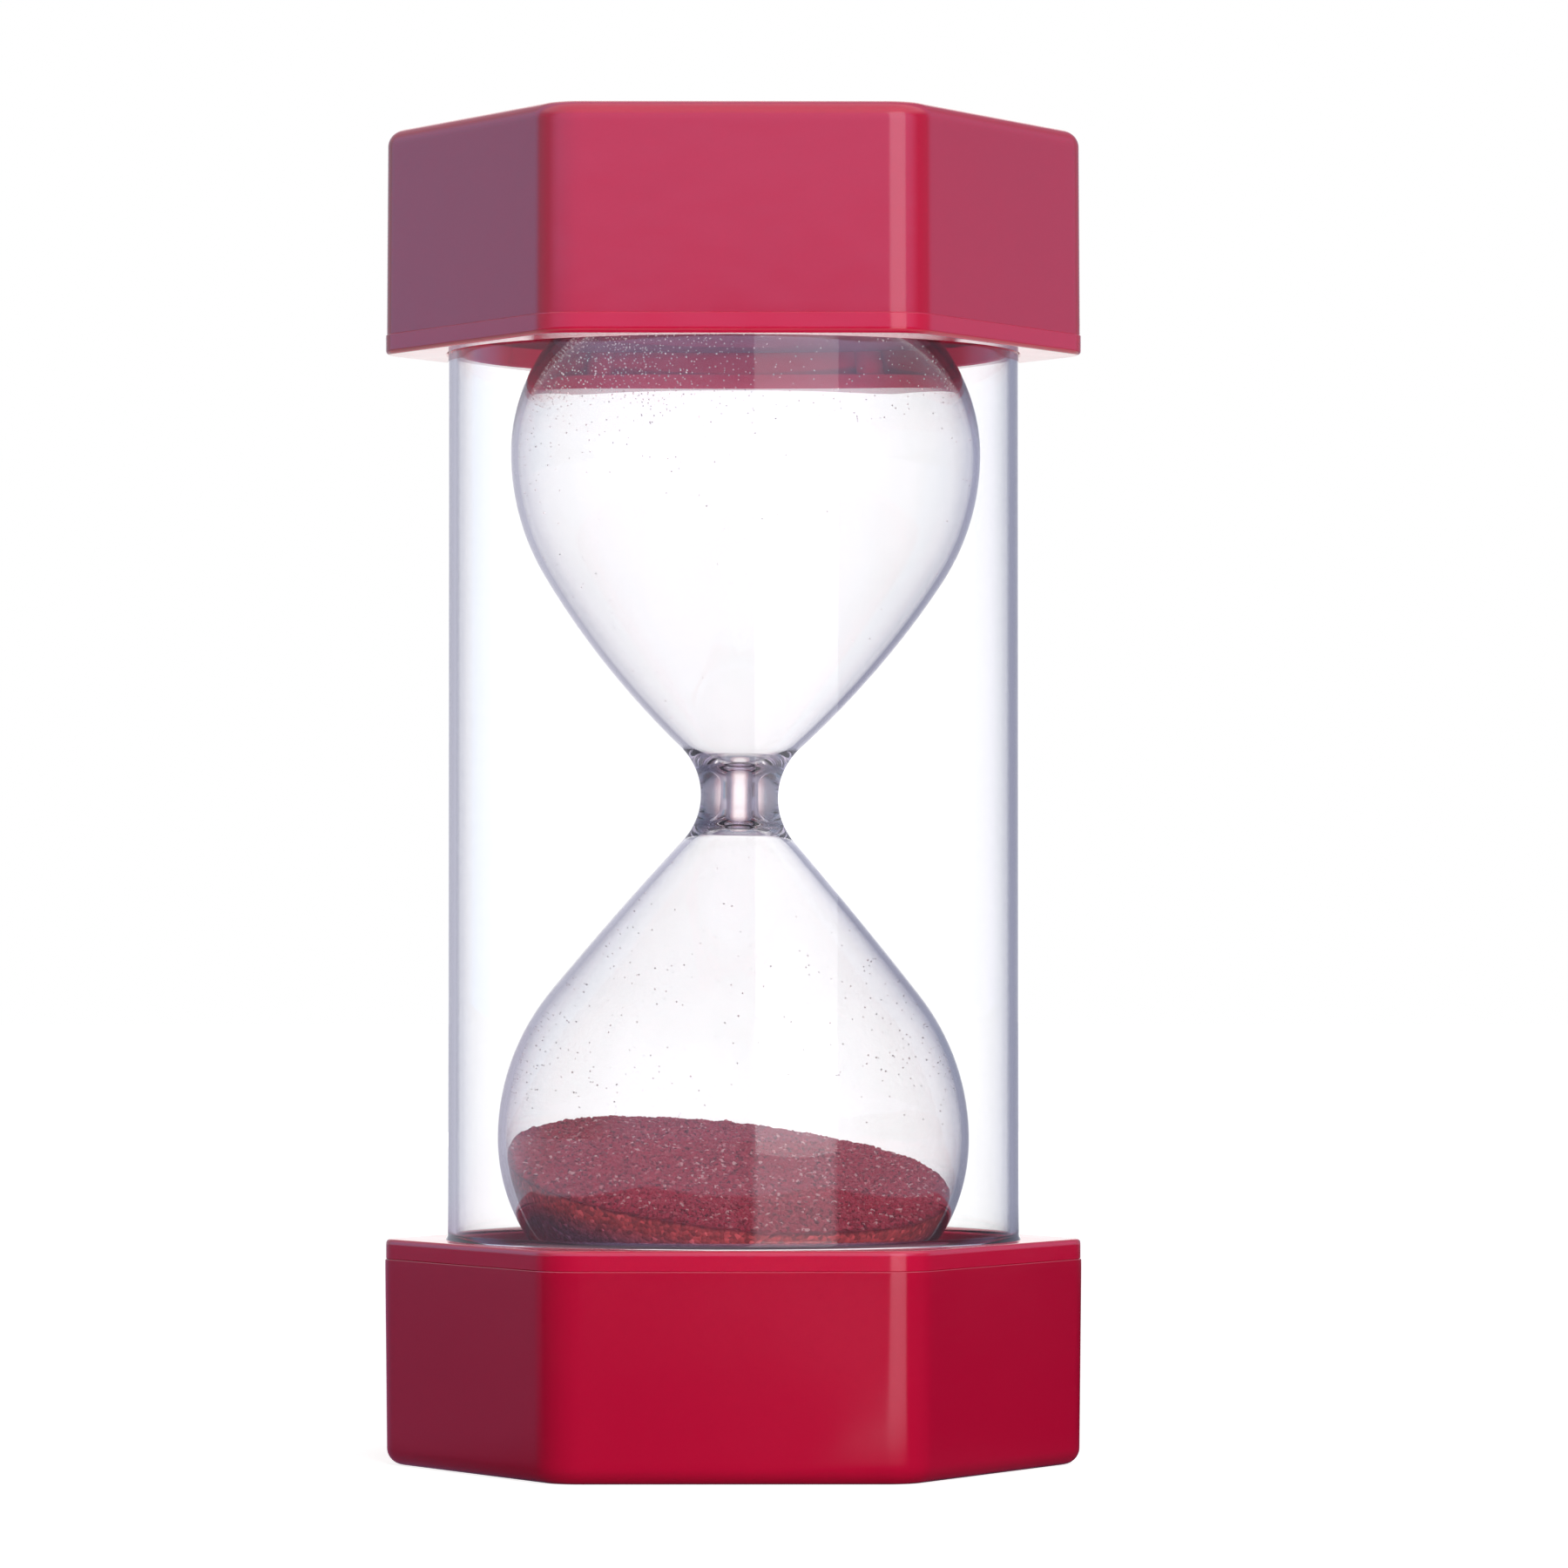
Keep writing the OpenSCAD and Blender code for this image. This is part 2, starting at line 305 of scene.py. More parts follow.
def newGroup(name, inputs, outputs):
    group = bpy.data.node_groups.new(name, "ShaderNodeTree")
    for label, value in inputs.items():
        socket = group.interface.new_socket(label, in_out="INPUT", socket_type="NodeSocketFloat")
        socket.default_value = value
    for label in outputs:
        group.interface.new_socket(label, in_out="OUTPUT", socket_type="NodeSocketFloat")
    return group, group.nodes.new("NodeGroupInput").outputs, group.nodes.new("NodeGroupOutput")


def addGroup(tree, group, values):
    return addNode(tree, "ShaderNodeGroup", {"node_tree": group}, values).outputs


skinScale = {  # of each pattern, per metre
    "slowTone": 28,
    "flowWaves": 95,
    "pigment": 2600,
    "scuffs": (130, 130, 2600),
}


# Moulded plastic: slow swings of tone, flow waves, fine pigment and hairline scuffs
def makeSkinGroup():
    group, entry, leave = newGroup("mouldedSkin", {"Tone Swing": 0.06, "Gloss": 0.2, "Gloss Swing": 0.08},
                                   ("Tone", "Roughness", "Height"))
    place = addPlace(group)
    slowTone = addNoise(group, place, skinScale["slowTone"], 2)
    pigment = addNoise(group, place, skinScale["pigment"], 2)
    scuffs = addStreaks(group, place, skinScale["scuffs"], 0.65)
    flowWaves = addNoise(group, place, skinScale["flowWaves"], 2)
    toneShift = addMath(group, "SUBTRACT", addScaled(group, pigment, 0.5, slowTone), 0.75)  # both swing about 0
    glossShift = addMath(group, "SUBTRACT", addMath(group, "ADD", scuffs, slowTone), 1.0)
    setInputs(group, leave, {
        "Tone": addScaled(group, toneShift, entry["Tone Swing"], 1.0),
        "Roughness": addScaled(group, glossShift, entry["Gloss Swing"], entry["Gloss"]),
        "Height": addScaled(group, pigment, 0.02, flowWaves),
    })
    return group


filmPattern = {
    "streaks": (170, 170, 40),  # scale, per metre
    "streakStops": [(0.42, 0.0), (0.75, 1.0)],
    "specks": 900,  # scale, per metre
    "speckStops": [(0.1, 1.0), (0.2, 0.0)],
    "chanceStops": [(0.78, 0.0), (0.82, 1.0)],  # only the palest cells have a speck
}


# Dust on clear walls: a clumped film with fine specks, as a tint and as a haze
def makeFilmGroup():
    group, entry, leave = newGroup("dustFilm", {"Film": 0.1, "Specks": 0.3}, ("Clear", "Haze"))
    place = addPlace(group)
    clumps = addRamp(group, addStreaks(group, place, filmPattern["streaks"]), filmPattern["streakStops"])
    dots = addCells(group, place, filmPattern["specks"])
    size = addRamp(group, dots["Distance"], filmPattern["speckStops"])
    chance = addRamp(group, dots["Color"], filmPattern["chanceStops"])
    specks = addProduct(group, size, chance, entry["Specks"])
    haze = addMath(group, "ADD", addProduct(group, clumps, entry["Film"]), specks, clamp=True)
    setInputs(group, leave, {"Haze": haze, "Clear": addMath(group, "SUBTRACT", 1.0, haze)})
    return group


skinGroup = makeSkinGroup()
filmGroup = makeFilmGroup()

redPlastic = {
    "capRed": (0.50, 0.0032, 0.036, 1),
    "coverRed": (0.60, 0.005, 0.047, 1),
    "toneSwing": 0.10,
    "gloss": 0.13,
    "glossSwing": 0.08,
    "waves": 0.02,
    "waveDepth": 2 * mm,
}
plugPlastic = {
    "plugIvory": (0.78, 0.71, 0.54, 1),
    "toneSwing": 0.08,
    "gloss": 0.42,
    "glossSwing": 0.1,
    "waves": 0.05,
    "waveDepth": 0.5 * mm,
}


def makeMoulded(name, finish):
    material, tree, shader = newMaterial(name, {"IOR": 1.5})
    skin = addGroup(tree, skinGroup, {"Tone Swing": finish["toneSwing"], "Gloss": finish["gloss"],
                                      "Gloss Swing": finish["glossSwing"]})
    setInputs(tree, shader, {
        "Base Color": addMix(tree, 1.0, finish[name], skin["Tone"], "MULTIPLY"),
        "Roughness": skin["Roughness"],
        "Normal": addBump(tree, skin["Height"], finish["waves"], finish["waveDepth"]),
    })
    return material


capRed = makeMoulded("capRed", redPlastic)
coverRed = makeMoulded("coverRed", redPlastic)
plugIvory = makeMoulded("plugIvory", plugPlastic)

# The painted shade of a clear wall, standing in for the dark it shows towards its edges, goes by how far it turns
# away, from 0 face on to 1 at its edge
tubeFinish = {
    "ior": 1.49,
    "film": 0.01,
    "specks": 0.04,
    "edge": [(0.0, white), (0.6, white), (0.74, (0.93, 0.94, 0.96, 1)), (0.82, (0.66, 0.67, 0.72, 1)),
             (0.88, (0.26, 0.27, 0.34, 1)), (1.0, (0.05, 0.05, 0.09, 1))],
}
glassFinish = {
    "ior": 1.5,
    "film": 0.02,
    "specks": 0.12,
    "edge": [(0.0, white), (0.6, (0.99, 0.985, 1, 1)), (0.78, (0.80, 0.80, 0.85, 1)),
             (0.9, (0.36, 0.36, 0.42, 1)), (1.0, (0.08, 0.08, 0.11, 1))],
    "upperShadeLift": 0.5,  # the upper bulb's painted edge shade is this much fainter
    "upperSpan": (4.4 * mm, 14 * mm),
    "neckPaintedShade": [(0.0, (1, 0.98, 0.98, 1)), (0.07, (0.97, 0.88, 0.89, 1)), (0.14, (0.42, 0.30, 0.34, 1)),
                 (0.26, (0.12, 0.14, 0.20, 1)), (0.55, (0.14, 0.16, 0.22, 1)), (1.0, (0.38, 0.38, 0.46, 1))],
    "neckSpan": (4.4 * mm, 3.4 * mm),  # painted shade for the thick glass this near to the waist
}
hazeRoughness = 0.25


# Clear material with painted shade towards its edges, standing in for the dark that clear walls show there before
# a white background
def makeClear(name, finish):
    material, tree, shader = newMaterial(name, {"IOR": finish["ior"], "Transmission Weight": 1.0, "Metallic": 0.0})
    dust = addGroup(tree, filmGroup, {"Film": finish["film"], "Specks": finish["specks"]})
    facing = addFacing(tree)
    # painted edge shade, times the dust film
    shadeAndDust = addMix(tree, 1.0, addRamp(tree, facing, finish["edge"]), dust["Clear"], "MULTIPLY")
    if "neckPaintedShade" in finish:
        above = addMath(tree, "SUBTRACT", addSplit(tree, addPlace(tree))["Z"], waistHeight)
        # less painted edge shade in the upper bulb
        fainter = addProduct(tree, addStep(tree, above, finish["upperSpan"]), finish["upperShadeLift"])
        shadeAndDust = addMix(tree, fainter, shadeAndDust, white)
        # painted shade of the thick neck glass, by how far it turns away
        atNeck = addStep(tree, addMath(tree, "ABSOLUTE", above), finish["neckSpan"])
        shadeAndDust = addMix(tree, atNeck, shadeAndDust, addRamp(tree, facing, finish["neckPaintedShade"]))
    setInputs(tree, shader, {"Base Color": shadeAndDust, "Roughness": addProduct(tree, dust["Haze"], hazeRoughness)})
    return material


tubeClear = makeClear("tubeClear", tubeFinish)
vialClear = makeClear("vialClear", glassFinish)

sandFinish = {
    "between": (0.26, 0.024, 0.043, 1),  # the bed that shows between the grains, darkened as painted shade
    "dark": (0.15, 0.014, 0.027, 1),
    "body": (0.445, 0.043, 0.079, 1),
    "pale": (0.56, 0.11, 0.15, 1),
    # painted glints on the few palest grains
    "paintedGlint": (0.73, 0.42, 0.45, 1),
    "paintedLitBand": (0.78, 0.095, 0.112, 1),  # painted light on the sand against the glass, just below the surface
    # painted shade, further down the sand's side
    "paintedDeepShade": (0.31, 0.105, 0.20, 1),
    # random tone of the bed's cells, with the palest few lifted far above the rest as painted glints
    "mottle": [(0.0, 0.55), (0.5, 0.95), (0.93, 1.25), (0.985, (1.9, 2.3, 2.3, 1))],
    "grainScale": 1900,
    "bump": 0.6,
    "bumpDepth": 0.25 * mm,
}
dustFinish = {
    "dull": (0.56, 0.48, 0.51, 1),
    "pale": (0.98, 0.80, 0.84, 1),
}
foamFinish = {
    "dark": (0.22, 0.034, 0.075, 1),
    "light": (0.31, 0.046, 0.10, 1),
    "mottleScale": 180,
    "cellScale": 1600,
    "roughness": 0.7,
    "roughSwing": 0.2,
    "bump": 0.5,
    "bumpDepth": 0.2 * mm,
}


# Loose grains, each of one tone
def makeLoose(name, settings, stops):
    material, tree, shader = newMaterial(name, settings)
    setInputs(tree, shader, {"Base Color": addRamp(tree, addAttribute(tree, "tone"), stops)})
    return material


def makeSandBed():
    material, tree, shader = newMaterial("sandBed", {"Roughness": 0.6, "IOR": 1.45, "Specular IOR Level": 0.2})
    cells = addCells(tree, addPlace(tree), sandFinish["grainScale"])
    cellTone = addNode(tree, "ShaderNodeSeparateColor", inputs={"Color": cells["Color"]}).outputs["Red"]
    # Painted light and shade by depth below the surface: lit just below it, darker further down
    depth = addRamp(tree, addAttribute(tree, "sunk"), [
        (0.0, sandFinish["between"]), (0.02, sandFinish["paintedLitBand"]), (0.08, sandFinish["paintedLitBand"]),
        (0.22, sandFinish["paintedDeepShade"])])
    setInputs(tree, shader, {
        "Base Color": addMix(tree, 1.0, depth, addRamp(tree, cellTone, sandFinish["mottle"]), "MULTIPLY"),
        "Normal": addBump(tree, cells["Distance"], sandFinish["bump"], sandFinish["bumpDepth"], True),
    })
    return material


def makeFoam():
    material, tree, shader = newMaterial("closedCellFoam", {"IOR": 1.4, "Specular IOR Level": 0.25})
    place = addPlace(tree)
    mottle = addNoise(tree, place, foamFinish["mottleScale"], 3)
    cells = addCells(tree, place, foamFinish["cellScale"])
    setInputs(tree, shader, {
        "Base Color": addRamp(tree, mottle, [(0.3, foamFinish["dark"]), (0.7, foamFinish["light"])]),
        "Roughness": addScaled(tree, mottle, foamFinish["roughSwing"], foamFinish["roughness"]),
        "Normal": addBump(tree, cells["Distance"], foamFinish["bump"], foamFinish["bumpDepth"]),
    })
    return material


sandGrain = makeLoose("sandGrain", {"Roughness": 0.5, "IOR": 1.45, "Specular IOR Level": 0.3}, [
    (0.0, sandFinish["dark"]), (0.3, sandFinish["body"]), (0.84, sandFinish["body"]),
    (0.94, sandFinish["pale"]), (0.985, sandFinish["paintedGlint"])])
glassDust = makeLoose("glassDust", {"Roughness": 0.8, "Specular IOR Level": 0.1}, [
    (0.1, dustFinish["dull"]), (0.8, dustFinish["pale"])])
sandBed = makeSandBed()
foam = makeFoam()
print("materials made")


def newTree(name, inputs):
    tree = bpy.data.node_groups.new(name, "GeometryNodeTree")
    tree.interface.new_socket("Geometry", in_out="INPUT", socket_type="NodeSocketGeometry")
    for label, kind in inputs.items():
        tree.interface.new_socket(label, in_out="INPUT", socket_type=kind)
    tree.interface.new_socket("Geometry", in_out="OUTPUT", socket_type="NodeSocketGeometry")
    return tree, tree.nodes.new("NodeGroupInput").outputs, tree.nodes.new("NodeGroupOutput")


# Ends a tree with real copies in one material
def closeTree(tree, entry, leave, geometry):
    real = addNode(tree, "GeometryNodeRealizeInstances", inputs={"Geometry": geometry})
    done = addNode(tree, "GeometryNodeSetMaterial", inputs={
        "Geometry": real.outputs["Geometry"], "Material": entry["Finish"]})
    setInputs(tree, leave, {"Geometry": done.outputs["Geometry"]})


# Runs a tree on a mesh and returns the result as a plain mesh
def bakeTree(source, tree, values, name):
    helper = placeObject("treeBase", source)
    modifier = helper.modifiers.new(tree.name, "NODES")
    modifier.node_group = tree
    for item in tree.interface.items_tree:
        if item.item_type == "SOCKET" and item.in_out == "INPUT" and item.name in values:
            modifier[item.identifier] = values[item.name]
    depsgraph = bpy.context.evaluated_depsgraph_get()
    mesh = bpy.data.meshes.new_from_object(helper.evaluated_get(depsgraph), depsgraph=depsgraph)
    helper.modifiers.remove(modifier)
    bpy.data.objects.remove(helper)
    mesh.name = name
    return mesh


# Sets one copy of a small piece at each corner, turned to face outwards, and joins them to the shell
def makeCornerTree():
    tree, entry, leave = newTree("cornerSet", {"Copy": "NodeSocketObject", "Corners": "NodeSocketInt",
                                               "Reach": "NodeSocketFloat", "Finish": "NodeSocketMaterial"})
    ring = addNode(tree, "GeometryNodeMeshCircle", inputs={
        "Vertices": entry["Corners"], "Radius": entry["Reach"]})
    source = addNode(tree, "GeometryNodeObjectInfo", inputs={"Object": entry["Copy"]})
    index = addNode(tree, "GeometryNodeInputIndex").outputs["Index"]
    angle = addProduct(tree, index, addMath(tree, "DIVIDE", math.tau, entry["Corners"]))
    turn = addNode(tree, "ShaderNodeCombineXYZ", inputs={"Z": angle})
    copies = addNode(tree, "GeometryNodeInstanceOnPoints", inputs={
        "Points": ring.outputs["Mesh"], "Instance": source.outputs["Geometry"],
        "Rotation": turn.outputs["Vector"]})
    join = addNode(tree, "GeometryNodeJoinGeometry", inputs={"Geometry": copies.outputs["Instances"]})
    setInputs(tree, join, {"Geometry": entry["Geometry"]})  # a second link into the same socket
    closeTree(tree, entry, leave, join.outputs["Geometry"])
    return tree


blockScale = (0.6, 1.3)  # least and most, on each axis


# Scatters small blocks over the faces that an attribute marks, each with its own turn, size and tone
def makeScatterTree(name, mark):
    tree, entry, leave = newTree(name, {"Density": "NodeSocketFloat", "Size": "NodeSocketFloat",
                                        "Seed": "NodeSocketInt", "Finish": "NodeSocketMaterial"})
    seed, (least, most) = entry["Seed"], blockScale
    marked = addNode(tree, "GeometryNodeInputNamedAttribute", {"data_type": "FLOAT"}, {"Name": mark})
    density = addProduct(tree, marked.outputs["Attribute"], entry["Density"])
    spread = addNode(tree, "GeometryNodeDistributePointsOnFaces", {"distribute_method": "RANDOM"}, {
        "Mesh": entry["Geometry"], "Density": density, "Seed": seed})
    draws = []
    for kind, limits in (("FLOAT", {}), ("FLOAT_VECTOR", {"Max": (math.tau,) * 3}),
                         ("FLOAT_VECTOR", {"Min": (least,) * 3, "Max": (most,) * 3})):
        draw = addNode(tree, "FunctionNodeRandomValue", {"data_type": kind}, {"Seed": seed, **limits})
        draws.append(next(socket for socket in draw.outputs if socket.enabled))
    tone, turn, scale = draws
    store = addNode(tree, "GeometryNodeStoreNamedAttribute", {"data_type": "FLOAT", "domain": "POINT"}, {
        "Geometry": spread.outputs["Points"], "Name": "tone", "Value": tone})
    size = addNode(tree, "ShaderNodeCombineXYZ", inputs={axis: entry["Size"] for axis in "XYZ"})
    block = addNode(tree, "GeometryNodeMeshCube", inputs={"Size": size.outputs["Vector"]})
    copies = addNode(tree, "GeometryNodeInstanceOnPoints", inputs={
        "Points": store.outputs["Geometry"], "Instance": block.outputs["Mesh"], "Rotation": turn, "Scale": scale})
    closeTree(tree, entry, leave, copies.outputs["Instances"])
    return tree


capShape = {
    "cornerRadius": 6 * mm,  # upright edges
    "edgeRadius": 2 * mm,  # round the outer face
    "draft": 0.2 * mm,
    "wall": 2.1 * mm,
    "floor": 2 * mm,
    "floorFillet": 1 * mm,
    "seamBevel": 0.09 * mm,  # on the edges that face up
    "seamBreak": 0.02 * mm,  # on those that face down
    "straightRim": 1 * mm,
    "support": 0.4 * mm,  # loops that keep flats flat beside a rounding
    "flatParts": 8,
    "cornerSteps": 14,
    "edgeSteps": 10,
    "filletSteps": 4,
}
coverShape = {
    "ledge": 0.1 * mm,  # the upper of the two pieces at a seam is set in by this
    "bevel": 0.5 * mm,
    "bevelSteps": 5,
    "boreBevel": 0.2 * mm,
    "tubeFit": 0.1 * mm,
}
pegShape = {
    "pegRadius": 1.1 * mm,
    "pegLength": 7 * mm,
    "pegFit": 0.05 * mm,
    "socketSpare": 1 * mm,
    "postRadius": 2.05 * mm,
    "postGap": 0.6 * mm,
    "webWidth": 1.6 * mm,
    "tip": 0.3 * mm,
    "sides": 28,
}
hexCorners = 6
halfSide = math.pi / hexCorners
postReach = tubeRadius + pegShape["postGap"] + pegShape["postRadius"]


# A point of the arc round a corner of the hexagon
def hexPoint(reach, middle, radius, angle, height):
    return Vector((reach * math.cos(middle) + radius * math.cos(angle),
                   reach * math.sin(middle) + radius * math.sin(angle), height))


# A hexagon with rounded corners, with a few points along each flat
def hexLoop(apothem, radius, height):
    reach = (apothem - radius) / math.cos(halfSide)
    steps, parts = capShape["cornerSteps"], capShape["flatParts"]
    loop = []
    for corner in range(hexCorners):
        middle = 2 * halfSide * corner
        for i in range(steps + 1):
            loop.append(hexPoint(reach, middle, radius, middle - halfSide + 2 * halfSide * i / steps, height))
        start, end = loop[-1], hexPoint(reach, middle + 2 * halfSide, radius, middle + halfSide, height)
        edge = capShape["support"] / (end - start).length
        loop += [start.lerp(end, t) for t in (edge, *(i / parts for i in range(1, parts)), 1 - edge)]
    return loop


# A circle whose points face those of a hexagon loop
def facingCircle(guide, radius, height):
    return [Vector((radius * p.x / p.xy.length, radius * p.y / p.xy.length, height)) for p in guide]


def makeCapShell(setIn, bevel):
    edge, corner, support = capShape["edgeRadius"], capShape["cornerRadius"], capShape["support"]
    wall, floor, fillet = capShape["wall"], capShape["floor"], capShape["floorFillet"]
    foot, rim = rimApothem - capShape["draft"], rimApothem - setIn
    inner, innerCorner = rimApothem - wall, corner - wall
    rings = [(foot - edge - support, corner - edge - support, 0)]  # apothem, corner radius and height
    for a in quarterTurn(capShape["edgeSteps"]):
        inset = edge * (1 - math.sin(a))
        rings.append((foot - inset, corner - inset, edge * (1 - math.cos(a))))
    rings += [
        (foot, corner, edge + support),
        (rim, corner, seamHeight - capShape["straightRim"]),
        (rim, corner, seamHeight - bevel - support / 2),
        (rim, corner, seamHeight - bevel),
        (rim - bevel, corner - bevel, seamHeight),
        (inner + bevel, innerCorner + bevel, seamHeight),
        (inner, innerCorner, seamHeight - bevel),
        (inner, innerCorner, floor + fillet + support),
    ]
    for a in quarterTurn(capShape["filletSteps"]):
        inset = fillet * (1 - math.cos(a))
        rings.append((inner - inset, innerCorner - inset, floor + fillet * (1 - math.sin(a))))
    rings.append((inner - fillet - support, innerCorner - fillet - support, floor))
    return finishMesh(stackLoops("capShell", [hexLoop(*ring) for ring in rings]))


def makeCoverRing(setIn):
    bevel, boreBevel = coverShape["bevel"], coverShape["boreBevel"]
    rim, corner = rimApothem - setIn, capShape["cornerRadius"] - setIn
    seam, support = capShape["seamBevel"], capShape["support"] / 2
    rings = [
        (rim - seam, corner - seam, seamHeight),
        (rim, corner, seamHeight + seam),
        (rim, corner, seamHeight + seam + support),
        (rim, corner, openHeight - bevel - support),
    ]
    for a in quarterTurn(coverShape["bevelSteps"]):
        inset = bevel * (1 - math.cos(a))
        rings.append((rim - inset, corner - inset, openHeight - bevel * (1 - math.sin(a))))
    rings.append((rim - bevel - support, corner - bevel - support, openHeight))
    loops = [hexLoop(*ring) for ring in rings]
    guide, bore = loops[-1], tubeRadius + coverShape["tubeFit"]
    for radius, height in ((bore + boreBevel, openHeight), (bore, openHeight - boreBevel), (bore, seamHeight)):
        loops.append(facingCircle(guide, radius, height))
    return finishMesh(stackLoops("coverRing", loops, wrap=True))


# A socket post with the web that ties it to the cap's corner
def makePost():
    tip, wall = pegShape["tip"], capShape["wall"]
    socket = pegShape["pegRadius"] + pegShape["pegFit"]
    depth = seamHeight - pegShape["pegLength"] - pegShape["socketSpare"]
    foot, radius = capShape["floor"] / 2, pegShape["postRadius"]
    profile = [(0, foot), (radius, foot), (radius, seamHeight - tip), (radius - tip, seamHeight),
               (socket, seamHeight), (socket, depth), (0, depth)]
    post = turnProfile("post", profile, pegShape["sides"])
    inner = capShape["cornerRadius"] - wall
    reach = (rimApothem - wall - inner) / math.cos(halfSide) + inner + wall / 2
    half = pegShape["webWidth"] / 2
    work = bmesh.new()
    work.from_mesh(post)
    for vertex in bmesh.ops.create_cube(work, size=1)["verts"]:
        vertex.co.x = reach - postReach if vertex.co.x > 0 else socket + tip
        vertex.co.y = half if vertex.co.y > 0 else -half
        vertex.co.z = seamHeight if vertex.co.z > 0 else foot
    work.to_mesh(post)
    work.free()
    return finishMesh(post)


def makePeg():
    radius, tip = pegShape["pegRadius"], pegShape["tip"]
    low, high = seamHeight - pegShape["pegLength"], (seamHeight + openHeight) / 2
    profile = [(0, low), (radius - tip, low), (radius, low + tip), (radius, high), (0, high)]
    return finishMesh(turnProfile("peg", profile, pegShape["sides"]))


# Joins the corner copies to a shell; a piece of the upper end is turned over
def makeEndPiece(name, shell, copy, material, node):
    small = placeObject("small", copy)
    values = {"Copy": small, "Corners": hexCorners, "Reach": postReach, "Finish": material}
    mesh = bakeTree(shell, cornerTree, values, name)
    bpy.data.objects.remove(small)
    if node.startswith("upper"):
        mesh.transform(turnUp)
    addPiece(name, mesh, material, "timer", node)


cornerTree = makeCornerTree()
ledge = coverShape["ledge"]
lowerShell, upperShell = makeCapShell(0.0, capShape["seamBevel"]), makeCapShell(ledge, capShape["seamBreak"])
makeEndPiece("lower_cup", lowerShell, makePost(), capRed, "lower_cap")
makeEndPiece("upper_cup", upperShell, makePost(), capRed, "upper_cap")
makeEndPiece("lower_ring", makeCoverRing(ledge), makePeg(), coverRed, "lower_cover")
makeEndPiece("upper_ring", makeCoverRing(0.0), makePeg(), coverRed, "upper_cover")
print("caps and cover rings made")


tubeShape = {
    "wall": 1 * mm,
    "flareWidth": 0.3 * mm,
    "flareHeight": 0.8 * mm,
    "flareStep": 4,  # degrees
    "endRound": 0.2 * mm,
    "roundSteps": 4,
    "support": 0.4 * mm,
    "sharpAngle": 30,
    "turns": 220,
}


# A sleeve, slightly flared where it leaves the lower cover ring
def makeTube():
    wall, width, height = tubeShape["wall"], tubeShape["flareWidth"], tubeShape["flareHeight"]
    bore, end, face = tubeRadius - wall, waistHeight - tubeFoot, waistHeight - openHeight
    curve = (height ** 2 + width ** 2) / (2 * width)
    flareEnd = 180 - math.degrees(math.asin(height / curve))
    flare = arcPoints(tubeRadius + curve, face - height, curve, 180, flareEnd, tubeShape["flareStep"])
    corners = [(tubeRadius, 0), (tubeRadius, end), (bore, end), (bore, 0)]
    rim = softRun(corners, tubeShape["endRound"], tubeShape["roundSteps"])
    lower = [(r, -z) for r, z in reversed(flare + [(tubeRadius, face)] + rim)]
    profile = lower + [(tubeRadius, 0)] + rim + [(bore, 0), lower[0]]
    profile = steadyRuns(profile, tubeShape["support"])[:-1]
    mesh = turnProfile("guard_sleeve", profile, tubeShape["turns"], closed=True)
    mesh.transform(Matrix.Translation((0, 0, waistHeight)))
    finishMesh(mesh, tubeShape["sharpAngle"])
    return addPiece("guard_sleeve", mesh, tubeClear, "timer", "guard_tube")


vialShape = {
    "wall": 0.8 * mm,
    "waistRadius": 4.65 * mm,
    "sweep": 8 * mm,  # outward sweep above and below the waist
    "bellyUp": 100 * mm,  # the upper bulb's flank bulges, the lower one's hardly does
    "bellyDown": 400 * mm,
    "bellyStep": 0.5,  # degrees
    "holeRadius": 1.55 * mm,
    "holeLength": 3.4 * mm,
    "funnel": 2.4 * mm,
    "funnelStep": 6,  # degrees
    "endFlat": 6.25 * mm,  # flat disc at the end of a bulb
    "spoutBore": 3.8 * mm,
    "spoutRadius": 5 * mm,
    "spoutHeight": 9.75 * mm,
    "spoutRound": 0.5 * mm,
    "roundSteps": 4,
    "thickEnd": 1.1 * mm,  # glass gathered at the spout's end
    "wobble": 0.1 * mm,  # unevenness of blown glass
    "wobbleScale": 38,
    "wobbleFrom": 6 * mm,  # none nearer to the axis
    "wobbleFade": 10 * mm,
    "support": 0.5 * mm,
    "sharpAngle": 35,
    "turns": 200,
}
wobbleStart = Vector((3.1, 1.7, 5.2))  # where in the noise it begins
endFlat = vialShape["endFlat"]
endArc = bulbRadius - endFlat
sweepCentre = vialShape["waistRadius"] + vialShape["sweep"]


# Centre of a flank's arc, which touches its bulb and the sweep out of the waist, and its angles at the two
def flankArc(belly):
    reach = math.hypot(sweepCentre, bulbRise)
    near, far = belly - bulbRadius, belly + vialShape["sweep"]
    share = (reach ** 2 + near ** 2 - far ** 2) / (2 * reach * near)
    turn = math.atan2(-bulbRise, sweepCentre) - math.acos(share)
    x, z = near * math.cos(turn), bulbRise + near * math.sin(turn)
    return x, z, math.degrees(math.atan2(z - bulbRise, -x)), math.degrees(math.atan2(z, sweepCentre - x))


# A bulb's wall at a depth in the glass, from its flank to the flat end
def bulbWall(depth, lowDeg, extra=0.0):
    wall = arcPoints(0, bulbRise, bulbRadius - depth, -lowDeg, 0)
    for radius, height in arcPoints(endFlat, bulbRise, 1.0, 0, 90)[1:]:
        across, up = radius - endFlat, height - bulbRise
        reach = endArc - depth - extra * up ** 2
        wall.append((endFlat + reach * across, bulbRise + reach * up))
    return wall


